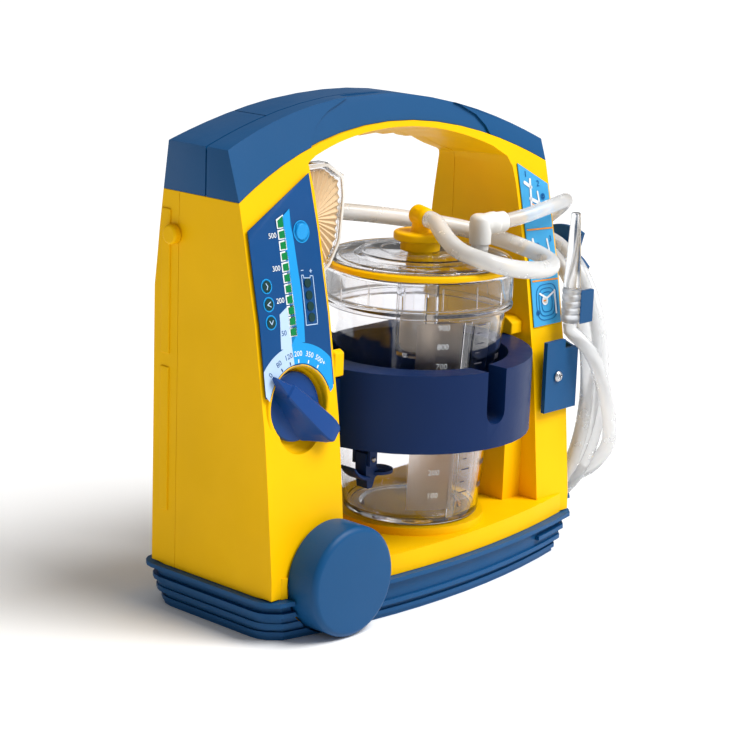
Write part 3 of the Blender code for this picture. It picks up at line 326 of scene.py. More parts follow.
def make(name, mesh, material, body="unit", replaces=()):
    obj = bpy.data.objects.new(name, mesh)
    mesh.materials.append(material)
    bpy.context.scene.collection.objects.link(obj)
    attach(obj, body)
    if replaces:
        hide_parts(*replaces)
    return obj


def piece(name, bm, material, body="unit", replaces=(), angle=40.0, width=0.0, segments=3):
    """An object from a bmesh in design millimetres; width rounds its edges."""
    bmesh.ops.remove_doubles(bm, verts=bm.verts, dist=0.001)
    bmesh.ops.recalc_face_normals(bm, faces=bm.faces)
    if bm.calc_volume(signed=True) < 0:
        bmesh.ops.reverse_faces(bm, faces=bm.faces)
    bm.transform(TO_FRAME)
    mesh = bpy.data.meshes.new(name)
    bm.to_mesh(mesh)
    bm.free()
    mesh.shade_smooth()
    obj = make(name, mesh, material, body, replaces)
    if width:
        round_edges(obj, width, segments)
    else:
        mesh.set_sharp_from_angle(angle=math.radians(angle))
    return obj


def round_edges(obj, width, segments=3, angle=32.0):
    bevel = obj.modifiers.new("rounded", "BEVEL")
    bevel.width = width * MM
    bevel.segments = segments
    bevel.limit_method = "ANGLE"
    bevel.angle_limit = math.radians(angle)
    bevel.harden_normals = False
    bevel.miter_outer = "MITER_ARC"
    even = obj.modifiers.new("even_normals", "WEIGHTED_NORMAL")
    even.keep_sharp = False
    even.weight = 60


def dress(node, material, width=0.0, segments=3, tools=()):
    """A CAD node keeps its shape and gets a finish, cuts and rounded edges as modifiers."""
    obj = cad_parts[node]
    obj.data.materials.clear()
    obj.data.materials.append(material)
    for name in ("custom_normal", "sharp_edge", "sharp_face"):
        found = obj.data.attributes.get(name)
        if found:
            obj.data.attributes.remove(found)
    obj.data.shade_smooth()
    weld = obj.modifiers.new("weld", "WELD")
    weld.merge_threshold = WELD_DISTANCE
    if node not in PIERCED:
        flat = obj.modifiers.new("flat_faces", "DECIMATE")
        flat.decimate_type = "DISSOLVE"
        flat.angle_limit = MERGE_ANGLE
    if width:
        round_edges(obj, width, segments)
    else:
        even = obj.modifiers.new("even_normals", "WEIGHTED_NORMAL")
        even.keep_sharp = False
    for tool in tools:
        cut = obj.modifiers.new("cut", "BOOLEAN")
        cut.object = tool
        cut.operation = "DIFFERENCE"
    return obj


def cutter(name, bm):
    """A hidden tool for a Boolean on a CAD node."""
    bmesh.ops.recalc_face_normals(bm, faces=bm.faces)
    if bm.calc_volume(signed=True) < 0:
        bmesh.ops.reverse_faces(bm, faces=bm.faces)
    bm.transform(TO_FRAME)
    mesh = bpy.data.meshes.new(name)
    bm.to_mesh(mesh)
    bm.free()
    obj = bpy.data.objects.new(name, mesh)
    bpy.context.scene.collection.objects.link(obj)
    obj.hide_render = True
    obj.display_type = "WIRE"
    return obj


def turned(profile, matrix=None, steps=96, bm=None):
    """A closed (radius, height) outline turned about the matrix's local Z."""
    bm = bm or bmesh.new()
    matrix = matrix or Matrix.Identity(4)
    rings = []
    for radius, height in profile:
        if radius < 1e-6:
            rings.append([bm.verts.new(matrix @ Vector((0, 0, height)))])
            continue
        ring = []
        for i in range(steps):
            angle = 2 * math.pi * i / steps
            ring.append(bm.verts.new(matrix @ Vector((radius * math.cos(angle),
                                                      radius * math.sin(angle), height))))
        rings.append(ring)
    closing = [rings[0]] if len(rings[0]) > 1 and len(rings[-1]) > 1 else []
    for one, two in zip(rings, rings[1:] + closing):
        skin(bm, one, two, steps)
    return bm


def skin(bm, one, two, steps):
    """Faces between two rings, either of which may be a single point."""
    if len(one) == 1 and len(two) == 1:
        return
    for i in range(steps):
        j = (i + 1) % steps
        if len(one) == 1:
            bm.faces.new((one[0], two[i], two[j]))
        elif len(two) == 1:
            bm.faces.new((one[i], one[j], two[0]))
        else:
            bm.faces.new((one[i], one[j], two[j], two[i]))


def fillet(points, radius, count=4, closed=False):
    """The polyline with each inner corner replaced by a small curve."""
    result = []
    total = len(points)
    for i, point in enumerate(points):
        inner = closed or 0 < i < total - 1
        here = Vector(point)
        before = Vector(points[i - 1]) - here
        after = Vector(points[(i + 1) % total]) - here
        if not inner or before.length < 1e-6 or after.length < 1e-6:
            result.append(tuple(here))
            continue
        reach = min(radius, before.length * 0.45, after.length * 0.45)
        start, end = here + before.normalized() * reach, here + after.normalized() * reach
        for step in range(count + 1):
            t = step / count
            result.append(tuple(start * (1 - t) ** 2 + here * 2 * t * (1 - t) + end * t * t))
    return result


def prism(outline, axis, low, high, bm=None):
    """An outline given thickness along X, Y or Z: points are (y, z), (x, z) or (x, y)."""
    bm = bm or bmesh.new()
    order = {"X": lambda a, b, c: (c, a, b), "Y": lambda a, b, c: (a, c, b),
             "Z": lambda a, b, c: (a, b, c)}[axis]
    ends = [[bm.verts.new(order(a, b, level)) for a, b in outline] for level in (low, high)]
    bm.faces.new(ends[0])
    bm.faces.new(list(reversed(ends[1])))
    for i in range(len(outline)):
        j = (i + 1) % len(outline)
        bm.faces.new((ends[0][i], ends[0][j], ends[1][j], ends[1][i]))
    return bm


def block(low, high, bm=None):
    outline = [(low[0], low[1]), (high[0], low[1]), (high[0], high[1]), (low[0], high[1])]
    return prism(outline, "Z", low[2], high[2], bm)


def loft(sections, bm=None):
    bm = bm or bmesh.new()
    rings = [[bm.verts.new(p) for p in ring] for ring in sections]
    for one, two in zip(rings, rings[1:]):
        skin(bm, one, two, len(one))
    bm.faces.new(rings[0])
    bm.faces.new(list(reversed(rings[-1])))
    return bm


def aimed(origin, direction):
    turn = Vector(direction).to_track_quat("Z", "Y").to_matrix().to_4x4()
    return Matrix.Translation(origin) @ turn


def upright(x, y):
    return Matrix.Translation((x, y, 0.0))


def smooth_route(points, step):
    """Points about step apart on a smooth curve through the given points."""
    vectors = [Vector(p) for p in points]
    padded = [2 * vectors[0] - vectors[1], *vectors, 2 * vectors[-1] - vectors[-2]]
    route = []
    for a, b, c, d in zip(padded, padded[1:], padded[2:], padded[3:]):
        count = max(1, round((c - b).length / step))
        for i in range(count):
            t = i / count
            route.append(0.5 * ((2 * b) + (c - a) * t + (2 * a - 5 * b + 4 * c - d) * t * t
                                + (3 * b - a - 3 * c + d) * t ** 3))
    route.append(vectors[-1])
    return route


def tube(name, points, radius, material, replaces=(), resolution=5):
    """A round tube on one open spline, in frame metres."""
    curve = bpy.data.curves.new(name, "CURVE")
    curve.dimensions = "3D"
    curve.bevel_depth = radius * MM
    curve.bevel_resolution = resolution
    curve.use_fill_caps = True
    spline = curve.splines.new("POLY")
    spline.points.add(len(points) - 1)
    for point, here in zip(spline.points, points):
        point.co = (*at(*here), 1.0)
    spline.use_smooth = True
    obj = bpy.data.objects.new(name, curve)
    curve.materials.append(material)
    bpy.context.scene.collection.objects.link(obj)
    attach(obj, "unit")
    if replaces:
        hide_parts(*replaces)
    return obj


# Tubes. The routes repeat the CAD's own points.

VAC_ROUTE = (
    (19.5, -28.7, 233.6), (18.4, -35.8, 232.7), (14.5, -43.5, 229.4), (10.8, -54.5, 223.8),
    (9.6, -66.0, 219.6), (12.0, -78.0, 217.0), (19.5, -87.0, 213.8), (33.0, -91.0, 210.4),
    (50.0, -89.5, 207.4), (69.0, -83.5, 204.6), (86.0, -75.0, 203.0), (97.5, -65.0, 203.0),
    (101.5, -53.5, 205.2), (98.0, -40.0, 209.0), (90.0, -26.5, 213.4), (79.0, -15.0, 217.6),
    (62.0, -5.0, 222.0), (38.0, 4.5, 227.0), (15.0, 12.5, 231.0), (-9.0, 20.0, 234.5),
    (-27.0, 28.0, 236.0), (-39.5, 32.0, 235.6), (-47.5, 29.5, 234.4), (-50.4, 24.0, 233.2),
    (-50.5, 17.5, 233.0),
)
PAT_ROUTE = (
    (84.6, -36.85, 226.6), (93.0, -38.7, 227.6), (104.0, -40.6, 229.4), (118.0, -42.2, 232.0),
    (132.0, -42.2, 234.2), (144.0, -38.5, 234.0), (151.0, -29.5, 228.5), (152.0, -18.0, 219.5),
    (151.5, -8.0, 211.5),
)
TIP_ROUTE = (
    (136.5, -53.5, 155.0), (136.5, -54.0, 150.2), (138.5, -60.0, 145.4), (142.0, -65.0, 139.0),
    (147.5, -67.5, 130.0), (154.5, -68.0, 117.5), (161.0, -68.0, 104.0), (167.0, -67.0, 90.0),
    (172.5, -64.2, 77.0), (176.0, -60.0, 64.0),
)
COIL_START, COIL_END = 60.0, -1205.0
COIL_X = (150.3, 178.4)
NEST = 2.5


def coil_points():
    """The wound turns: an oval helix whose turns nest a little in and out."""
    mid_y, mid_z = COIL_MID
    half_y, half_z = COIL_HALF
    count = 64
    points = []
    for i in range(count + 1):
        t = i / count
        angle = math.radians(COIL_START + (COIL_END - COIL_START) * t)
        nest = NEST * max(-1.0, min(1.0, 1.8 * math.cos(angle / 2)))
        points.append((COIL_X[0] + (COIL_X[1] - COIL_X[0]) * t,
                       mid_y + (half_y + nest) * math.cos(angle),
                       mid_z + (half_z + nest) * math.sin(angle)))
    return points


def tubes():
    vacuum = smooth_route(VAC_ROUTE, 4.0)
    line = tube("vacuum_hose", vacuum, VAC_R, TUBING, ["vacuum_tube"])
    route = [*PAT_ROUTE, (151.0, 5.0, 203.0), *coil_points(), (178.2, -47.0, 48.0),
             *reversed(TIP_ROUTE)]
    line = tube("patient_hose", smooth_route(route, 4.0), PAT_R, TUBING_CLEAR,
                ["patient_tube", "patient_tube_coil", "tip_tube"])


# Housing


def profile_y(z):
    for (z0, y0), (z1, y1) in zip(FRONT_PROFILE, FRONT_PROFILE[1:]):
        if z <= z1:
            return y0 + (y1 - y0) * (z - z0) / (z1 - z0)
    return FRONT_PROFILE[-1][1]


def knob_frame():
    """Local Z points out of the tilted front face and local X points up it."""
    out = Vector((0, -math.cos(FACE_TILT), math.sin(FACE_TILT)))
    up = Vector((0, math.sin(FACE_TILT), math.cos(FACE_TILT)))
    turn = Matrix((up, out.cross(up), out)).transposed().to_4x4()
    return Matrix.Translation(KNOB) @ turn


# Material, edge radius and the CAD nodes that get them.
FINISHES = (
    (YELLOW, 1.5, ("front_housing", "rear_housing")),
    (YELLOW, 0.6, ("strap_stud_left", "strap_stud_right", "holder_hook_left", "holder_hook_right")),
    (YELLOW, 0.5, ("battery_door",)),
    (YELLOW, 0.0, ("cap_boss",)),
    (BLUE, 0.5, ("battery_latch",)),
    (BLACK, 0.8, ("battery_pack",)),
    (BLACK, 0.0, ("rotary_switch", "power_inlet", "pump_diaphragm")),
    (STEEL, 0.0, ("door_hinge_pin", "release_lever_pin", "switch_shaft", "motor_shaft", "eccentric",
                  "pump_motor")),
    (GREY, 0.4, ("connecting_rod", "pump_head")),
    (BOARD, 0.0, ("circuit_board",)),
)


def housing():
    for material, radius, nodes in FINISHES:
        for node in nodes:
            dress(node, material, radius)
    for low, high in ((62.0, 152.0), (160.0, 248.0)):
        rail = block((-140.0, 33.5, low), (-138.4, 41.0, high))
        piece(f"side_rail_{int(low)}", rail, YELLOW, width=0.9)
    for number in range(1, 5):
        screw_head(f"housing_screw_{number}", 3.0, 1.7, "Y")
    screw_head("tubing_holder_screw", 3.6, 2.0, "-Y")


def screw_head(node, radius, height, side):
    """A pan head with a cross recess in place of the CAD's plain one."""
    low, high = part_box(node)
    back = side == "Y"
    middle = (low + high) / 2
    seat = Vector((middle.x, low.y if back else high.y, middle.z))
    if not back:
        seat.y = low.y + height * MM
    centre = TO_FRAME.inverted() @ seat
    turn = Matrix.Rotation(-math.pi / 2 if back else math.pi / 2, 4, "X")
    local = Matrix.Translation(centre) @ turn @ Matrix.Rotation(math.radians(28), 4, "Z")
    arm, half = radius * 0.55, radius * 0.13
    slot = [(half, arm), (half, half), (arm, half), (arm, -half), (half, -half), (half, -arm),
            (-half, -arm), (-half, -half), (-arm, -half), (-arm, half), (-half, half), (-half, arm)]
    profile = fillet([(0.0, 0.0), (radius, 0.0), (radius, height * 0.35), (radius * 0.72, height),
                      (0.0, height)], radius * 0.2)
    head = turned(profile, local, 40)
    name = node + "_head"
    obj = piece(name, head, STEEL, replaces=[node], angle=30)
    tool = prism(slot, "Z", height * 0.35, height + 1.0)
    tool.transform(local)
    cut = obj.modifiers.new("cross", "BOOLEAN")
    cut.object = cutter(name + "_cross", tool)


def arch_strip(outside, inside, y_low, y_high):
    """A thin band that follows the handle cover's outline seen from the front."""
    outer, inner = [(-HALF_WIDTH - 2.0, 250.0)], [(-HALF_WIDTH + inside, 250.0)]
    for i in range(49):
        x = -HALF_WIDTH + 2 * HALF_WIDTH * i / 48
        z = CREST_Z + CREST_SLOPE * x + CREST_BEND * x * x
        outer.append((x * 1.015, z + outside))
        inner.append((x * (1 - inside / HALF_WIDTH), z - inside))
    outer.append((HALF_WIDTH + 2.0, 250.0))
    inner.append((HALF_WIDTH - inside, 250.0))
    return prism(outer + inner[::-1], "Y", y_low, y_high)


def cover_and_base():
    seam = cutter("cover_seam", arch_strip(3.0, 0.8, 3.5, 4.7))
    across = block((-92.0, 4.6, 285.0), (-91.2, 60.0, 330.0))
    dress("handle_cover", BLUE, 2.6, 4, tools=[seam, cutter("cover_joint", across)])
    dress("base_bumper", BLUE, 0.8, 3)
    x, z = CAP
    face = Matrix.Translation((x, -57.0, z)) @ Matrix.Rotation(math.pi / 2, 4, "X")
    profile = fillet([(0.0, 0.0), (34.0, 0.0), (34.0, 21.2), (31.6, 23.5), (0.0, 23.5)], 2.2, 6)
    piece("round_cap_smooth", turned(profile, face, 128), BLUE,
          replaces=["round_cap"])


# Things on the front face


def on_front(bm, out):
    """Bends a flat X-Z shape onto the front face, out millimetres from it."""
    bmesh.ops.triangulate(bm, faces=bm.faces)
    low = min(v.co.z for v in bm.verts)
    high = max(v.co.z for v in bm.verts)
    for z, _ in FRONT_PROFILE:
        if low + 0.2 < z < high - 0.2:
            everything = bm.verts[:] + bm.edges[:] + bm.faces[:]
            bmesh.ops.bisect_plane(bm, geom=everything, plane_co=(0, 0, z), plane_no=(0, 0, 1))
    for vertex in bm.verts:
        vertex.co.y += profile_y(vertex.co.z) - out
    return bm


def decal(name, outline, material, out, thick=0.12):
    return piece(name, on_front(prism(outline, "Y", -thick, 0.0), out), material, angle=30)


def ring_outline(x, z, radius, width, start=0.0, end=360.0, count=40):
    """A band round a centre, as one outline."""
    outer, inner = [], []
    for i in range(count + 1):
        angle = math.radians(start + (end - start) * i / count)
        outer.append((x + radius * math.cos(angle), z + radius * math.sin(angle)))
        near = radius - width
        inner.append((x + near * math.cos(angle), z + near * math.sin(angle)))
    return outer + inner[::-1]


def disc_outline(x, z, radius, count=36):
    turn = 2 * math.pi / count
    return [(x + radius * math.cos(turn * i), z + radius * math.sin(turn * i))
            for i in range(count)]


def text_mesh(string, size, thick):
    """Lettering as a mesh in its own X-Y plane, millimetres."""
    data = bpy.data.curves.new("lettering", "FONT")
    data.body = string
    data.size = size
    data.extrude = thick / 2
    data.align_x = "CENTER"
    data.align_y = "CENTER"
    data.resolution_u = 3
    helper = bpy.data.objects.new("lettering", data)
    bpy.context.scene.collection.objects.link(helper)
    graph = bpy.context.evaluated_depsgraph_get()
    mesh = bpy.data.meshes.new_from_object(helper.evaluated_get(graph))
    bm = bmesh.new()
    bm.from_mesh(mesh)
    bpy.data.objects.remove(helper)
    bpy.data.meshes.remove(mesh)
    return bm


def face_number(name, string, size, x, z, material, slot, out=2.36, tilt=0.0):
    bm = text_mesh(string, size, 0.12)
    turn = Matrix.Rotation(math.radians(tilt), 4, "Z")
    stand = Matrix.Rotation(math.pi / 2, 4, "X")
    bm.transform(Matrix.Translation((x, 0.0, z)) @ stand @ turn)
    for vertex in bm.verts:
        vertex.co.y += profile_y(vertex.co.z) - out
    return piece(name, bm, material, angle=30)


FILM = 2.2
INK = 2.36
LAMP_X = -111.0


def panel_print():
    dress("control_panel_label", PANEL)
    x, z = KNOB[0], KNOB[2] - 0.3
    stripe = [(-113.0, 176.0), (-108.7, 181.0), (-108.7, 249.0), (-102.2, 252.9), (-103.0, 243.5),
              (-101.9, 234.0), (-101.3, 219.0), (-100.7, 205.0), (-102.2, 176.0)]
    decal("print_stripe", stripe, CYAN, FILM)
    pale = [(-113.9, 198.0), (-120.6, 194.4), (-122.0, 174.6), (-112.9, 173.0), (-112.9, 181.0)]
    decal("print_pale_band", pale, PALE, FILM)
    split = 95.0
    decal("print_dial_cyan", dial_sector(x, z, 25.8, 37.6, 12.0, split, -82.0), CYAN,
          FILM + 0.02)
    pale_dial = [(max(a, -137.3), b) for a, b in dial_sector(x, z, 25.8, 37.0, split, 163.0, None)]
    decal("print_dial_pale", pale_dial, PALE, FILM + 0.02)
    marks = ((134.5, "0"), (118.0, "80"), (102.0, "120"), (87.5, "200"), (70.5, "350"),
             (53.0, "500+"))
    for angle, number in marks:
        dark = angle > split
        ink, slot = (NAVY_INK, "panel_blue") if dark else (WHITE_INK, "white_plastic")
        a = math.radians(angle)
        face_number("dial_" + number.replace("+", "_up"), number, 4.4, x + 31.4 * math.cos(a),
                    z + 31.4 * math.sin(a), ink, slot, INK, angle - 90)
        tick = [(x + r * math.cos(a) - s * math.sin(a), z + r * math.sin(a) + s * math.cos(a))
                for r, s in ((26.2, -0.4), (28.2, -0.4), (28.2, 0.4), (26.2, 0.4))]
        decal(f"dial_tick_{int(angle)}", tick, ink, INK)


def dial_sector(x, z, inner, outer, start, end, limit):
    """A sector of the dial, its right side cut off straight at limit."""
    points = []
    count = 24
    for radius, order in ((outer, 1), (inner, -1)):
        edge = []
        for i in range(count + 1):
            angle = math.radians(start + (end - start) * i / count)
            px = x + radius * math.cos(angle)
            if limit is not None:
                px = min(px, limit)
            edge.append((px, z + radius * math.sin(angle)))
        points += edge[::order]
    return points


def lamps():
    """Eleven lamps in white frames, three round keys and the charge lamps."""
    first, pitch = 183.2, 6.2
    gauge = bmesh.new()
    frames = bmesh.new()
    for i in range(11):
        z = first + pitch * i
        lean = 2.2 if i == 10 else 0.35
        lamp = [(LAMP_X - 2.1, z - 1.9), (LAMP_X + 2.1, z - 1.9), (LAMP_X + 2.1, z + 1.9 + lean),
                (LAMP_X - 2.1, z + 1.9)]
        merge(gauge, on_front(prism(lamp, "Y", -0.4, 0.0), FILM + 0.05))
        rim = [(LAMP_X - 3.0, z - 2.7), (LAMP_X + 3.0, z - 2.7), (LAMP_X + 3.0, z + 2.7 + lean),
               (LAMP_X - 3.0, z + 2.7)]
        merge(frames, on_front(prism(rim, "Y", -0.16, 0.0), FILM - 0.04))
    piece("gauge_frames", frames, WHITE_INK, angle=30)
    piece("gauge_lamps", gauge, GREEN_DARK, replaces=["vacuum_gauge_lenses"], angle=30)
    for number, z in (("500", 239.1), ("300", 220.4), ("200", 202.1), ("50", 183.4)):
        ink = (NAVY_INK, "panel_blue") if number == "50" else (WHITE_INK, "white_plastic")
        face_number("gauge_" + number, number, 4.3, LAMP_X - 7.6, z, *ink)
    status = bmesh.new()
    rings = bmesh.new()
    for z in (211.5, 201.2, 190.9):
        merge(status, on_front(prism(disc_outline(-128.0, z, 3.3), "Y", -0.5, 0.0), FILM))
        merge(rings, on_front(prism(ring_outline(-128.0, z, 4.3, 0.55), "Y", -0.16, 0.0), FILM))
    piece("status_lamps", status, LAMP_DARK, replaces=["status_lenses"], angle=30)
    piece("status_rings", rings, CYAN, angle=30)
    signs = bmesh.new()
    for x0, z0, x1, z1 in ((-128.6, 213.2, -127.4, 211.4), (-127.4, 211.4, -128.4, 209.8),
                           (-129.4, 201.2, -126.8, 202.6), (-129.4, 201.2, -126.8, 199.8),
                           (-129.4, 192.0, -128.0, 189.8), (-128.0, 189.8, -126.6, 192.0)):
        merge(signs, on_front(prism(stroke(x0, z0, x1, z1, 0.5), "Y", -0.12, 0.0), FILM + 0.5))
    piece("status_signs", signs, PALE, angle=30)
    charge = bmesh.new()
    for z in (209.4, 202.4, 196.0, 189.6):
        merge(charge, on_front(prism(disc_outline(-94.9, z, 2.6), "Y", -0.5, 0.0), FILM))
    piece("charge_lamps", charge, LAMP_DARK, replaces=["battery_lenses"], angle=30)
    outline = bmesh.new()
    corners = [(-100.0, 185.5), (-99.0, 214.3), (-97.4, 214.2), (-97.5, 212.6), (-92.2, 212.0),
               (-92.0, 213.2), (-89.8, 212.9), (-90.6, 185.1), (-100.0, 185.5)]
    for (x0, z0), (x1, z1) in zip(corners, corners[1:]):
        merge(outline, on_front(prism(stroke(x0, z0, x1, z1, 0.5), "Y", -0.12, 0.0), FILM))
    for x0, z0, x1, z1 in ((-98.9, 217.0, -97.1, 217.0), (-92.0, 215.9, -90.2, 215.9),
                           (-91.1, 216.8, -91.1, 215.0)):
        merge(outline, on_front(prism(stroke(x0, z0, x1, z1, 0.45), "Y", -0.12, 0.0), FILM))
    piece("charge_outline", outline, PALE, angle=30)


def merge(target, bm):
    """Adds one bmesh to another."""
    mesh = bpy.data.meshes.new("part")
    bm.to_mesh(mesh)
    bm.free()
    target.from_mesh(mesh)
    bpy.data.meshes.remove(mesh)


def test_key():
    dress("test_button", CYAN, 0.5)
    decal("test_key_ring", ring_outline(-94.8, 239.0, 6.5, 0.6), CYAN, FILM)


def hole_radius(angle, height):
    """Distance from the knob's axis to the edge of its recess; angle 0 points up."""
    bore = 23.0
    centre, radius = -11.0, 15.0 + 5.0 * (height + 8.0) / 14.0
    along = centre * math.cos(angle)
    inside = radius * radius - (centre * math.sin(angle)) ** 2
    return max(bore, along + math.sqrt(inside)) if inside > 0 else bore


def knob_well():
    """The dished floor of the knob's recess, deepest round the knob."""
    local = knob_frame()
    steps = 96
    rings = [[], [], [], [], [], []]
    for i in range(steps):
        angle = 2 * math.pi * i / steps
        edge = hole_radius(angle, -1.0)
        dished = min(1.0, max(0.0, (edge - 23.5) / 3.0))
        floor = (max(21.8, edge - 4.0), -8.0 + 1.8 * dished)
        spots = ((edge + 0.4, -2.4), (edge - 0.2, -3.0), floor, (9.0, -8.3), (9.0, -9.8),
                 (edge + 1.4, -9.8))
        for ring, (radius, height) in zip(rings, spots):
            ring.append(local @ spoke(radius, angle, height))
    bm = bmesh.new()
    loops = [[bm.verts.new(p) for p in ring] for ring in rings]
    for one, two in zip(loops, loops[1:] + loops[:1]):
        skin(bm, one, two, steps)
    piece("knob_well", bm, YELLOW, angle=60)


def knob_rim():
    """The raised yellow rim over the upper part of the knob's recess."""
    local = knob_frame()
    sections = []
    for i in range(57):
        angle = math.radians(-112 + 224 * i / 56)
        fade = min(1.0, (1 - abs(i - 28) / 28) * 2.6)
        ring = []
        for j in range(14):
            turn = 2 * math.pi * j / 14
            radius = 24.5 + 1.5 * math.cos(turn)
            height = -0.2 + (0.4 + 2.0 * fade) * math.sin(turn)
            ring.append(local @ spoke(radius, angle, height))
        sections.append(ring)
    piece("knob_rim", loft(sections), YELLOW, angle=80)


def knob():
    """A recessed disc with a flat-topped wing that flares down to it and ends in an arrow tip."""
    local = knob_frame() @ Matrix.Rotation(KNOB_REST, 4, "Z")
    profile = fillet([(0.0, -7.4), (20.8, -7.4), (20.8, -4.2), (20.0, -3.4), (0.0, -3.4)], 0.7)
    bm = turned(profile, local, 96)
    stations = (
        (30.4, 0.5, 0.9, 6.4, 3.9), (25.0, 1.9, 2.6, 7.0, 3.5), (17.2, 3.7, 5.0, 7.4, -4.0),
        (16.2, 4.5, 5.6, 8.5, -4.0), (8.0, 5.4, 7.6, 8.7, -4.0), (-2.0, 6.0, 10.6, 8.8, -4.0),
        (-11.0, 6.5, 13.8, 8.9, -4.0), (-17.0, 6.7, 13.0, 8.9, -4.0), (-21.0, 6.8, 10.4, 8.9, -2.0),
        (-25.0, 6.6, 8.2, 8.8, 3.5), (-28.6, 5.7, 6.4, 8.6, 3.8), (-30.2, 4.6, 5.0, 7.9, 4.2),
    )
    sections = []
    for x, top, base, high, low in stations:
        middle = low + (high - low) * 0.42
        waist = top + (base - top) * 0.34
        half = [(base, low), (waist, middle), (top, high - 0.9), (top - min(0.9, top * 0.5), high)]
        ring = half + [(-y, z) for y, z in reversed(half)]
        sections.append([local @ Vector((x, y, z)) for y, z in ring])
    loft(sections, bm)
    piece("selector_knob_shaped", bm, KNOB_BLUE, "selector", ["selector_knob"],
          angle=28)


def pictograms():
    """Three plain picture panels: wind up the tube, fit the canister, take up the tip."""
    dress("pictogram_label", LABEL)
    out = 1.4
    for z in (216.0, 183.0):
        bar = [(109.9, z + 0.9), (136.5, z - 0.3), (136.5, z + 0.7), (109.9, z + 1.9)]
        decal(f"label_divider_{int(z)}", bar, ORANGE, out)
    coils = bmesh.new()
    for reach in (0.0, 2.6, 5.2):
        oval = []
        for i in range(33):
            across, up = math.cos(2 * math.pi * i / 32), math.sin(2 * math.pi * i / 32)
            oval.append((123.4 + (10.6 - reach) * math.copysign(abs(across) ** 0.6, across),
                         169.5 + (11.6 - reach) * math.copysign(abs(up) ** 0.6, up)))
        for start, end in zip(oval, oval[1:]):
            merge(coils, on_front(prism(stroke(*start, *end, 0.55), "Y", -0.1, 0.0), out))
    for x, z, radius in ((113.6, 163.4, 1.9), (119.0, 206.0, 2.4), (129.8, 237.0, 2.2)):
        merge(coils, on_front(prism(ring_outline(x, z, radius, 0.7), "Y", -0.1, 0.0), out))
    piece("label_coils", coils, LABEL_DARK, angle=30)
    white = bmesh.new()
    merge(white, on_front(prism(ring_outline(121.4, 170.6, 2.9, 1.0), "Y", -0.1, 0.0), out + 0.1))
    strokes = (
        ((121.4, 173.0), (116.5, 175.6), 1.3), ((124.0, 172.2), (131.6, 175.6), 1.3),
        ((131.6, 176.0), (132.2, 161.5), 1.5), ((113.0, 247.6), (119.0, 244.0), 2.2),
        ((118.6, 249.0), (116.8, 227.0), 1.8), ((116.8, 237.0), (134.6, 229.0), 2.2),
        ((124.8, 240.5), (125.6, 232.0), 1.5), ((114.6, 211.0), (116.2, 203.2), 1.8),
        ((116.2, 203.2), (135.4, 196.4), 2.0), ((129.0, 209.6), (130.2, 202.2), 1.4),
        ((132.6, 197.2), (136.0, 190.0), 1.4),
    )
    for (x0, z0), (x1, z1), width in strokes:
        merge(white, on_front(prism(stroke(x0, z0, x1, z1, width), "Y", -0.1, 0.0), out + 0.08))
    piece("label_strokes", white, WHITE_INK, angle=30)
    accent = bmesh.new()
    for x0, z0, x1, z1 in ((118.0, 233.4, 128.0, 229.0), (121.0, 201.6, 128.4, 199.6),
                           (119.8, 170.6, 121.6, 170.6)):
        merge(accent, on_front(prism(stroke(x0, z0, x1, z1, 0.9), "Y", -0.1, 0.0), out + 0.25))
    piece("label_accents", accent, ORANGE, angle=30)
    for number, x, z in (("1", 115.0, 252.6), ("2", 126.4, 245.6), ("3", 132.6, 209.4)):
        face_number("label_" + number, number, 5.6, x, z, LABEL_DARK, "panel_blue", out + 0.1)


def stroke(x0, z0, x1, z1, width):
    """A straight bar with rounded ends, as an outline."""
    along = Vector((x1 - x0, z1 - z0)).normalized()
    side = Vector((-along.y, along.x)) * width / 2
    points = []
    for centre, sign in ((Vector((x1, z1)), 1), (Vector((x0, z0)), -1)):
        for i in range(7):
            angle = math.pi / 2 - math.pi * i / 6
            reach = along * math.cos(angle) * width / 2 + side * math.sin(angle)
            points.append(tuple(centre + sign * reach))
    return points


# Canister


def can_radius(z):
    return CAN_BOTTOM_R + (CAN_TOP_R - CAN_BOTTOM_R) * (z - CAN_LOW) / (CAN_HIGH - CAN_LOW)


def on_can(bm, theta, out):
    """Wraps a shape drawn in X-Y round the canister, centred on the angle theta."""
    for vertex in bm.verts:
        u, v, w = vertex.co
        radius = can_radius(v) + out + w
        angle = theta + u / can_radius(v)
        vertex.co = (CAN[0] + radius * math.cos(angle), CAN[1] + radius * math.sin(angle), v)
    return bm


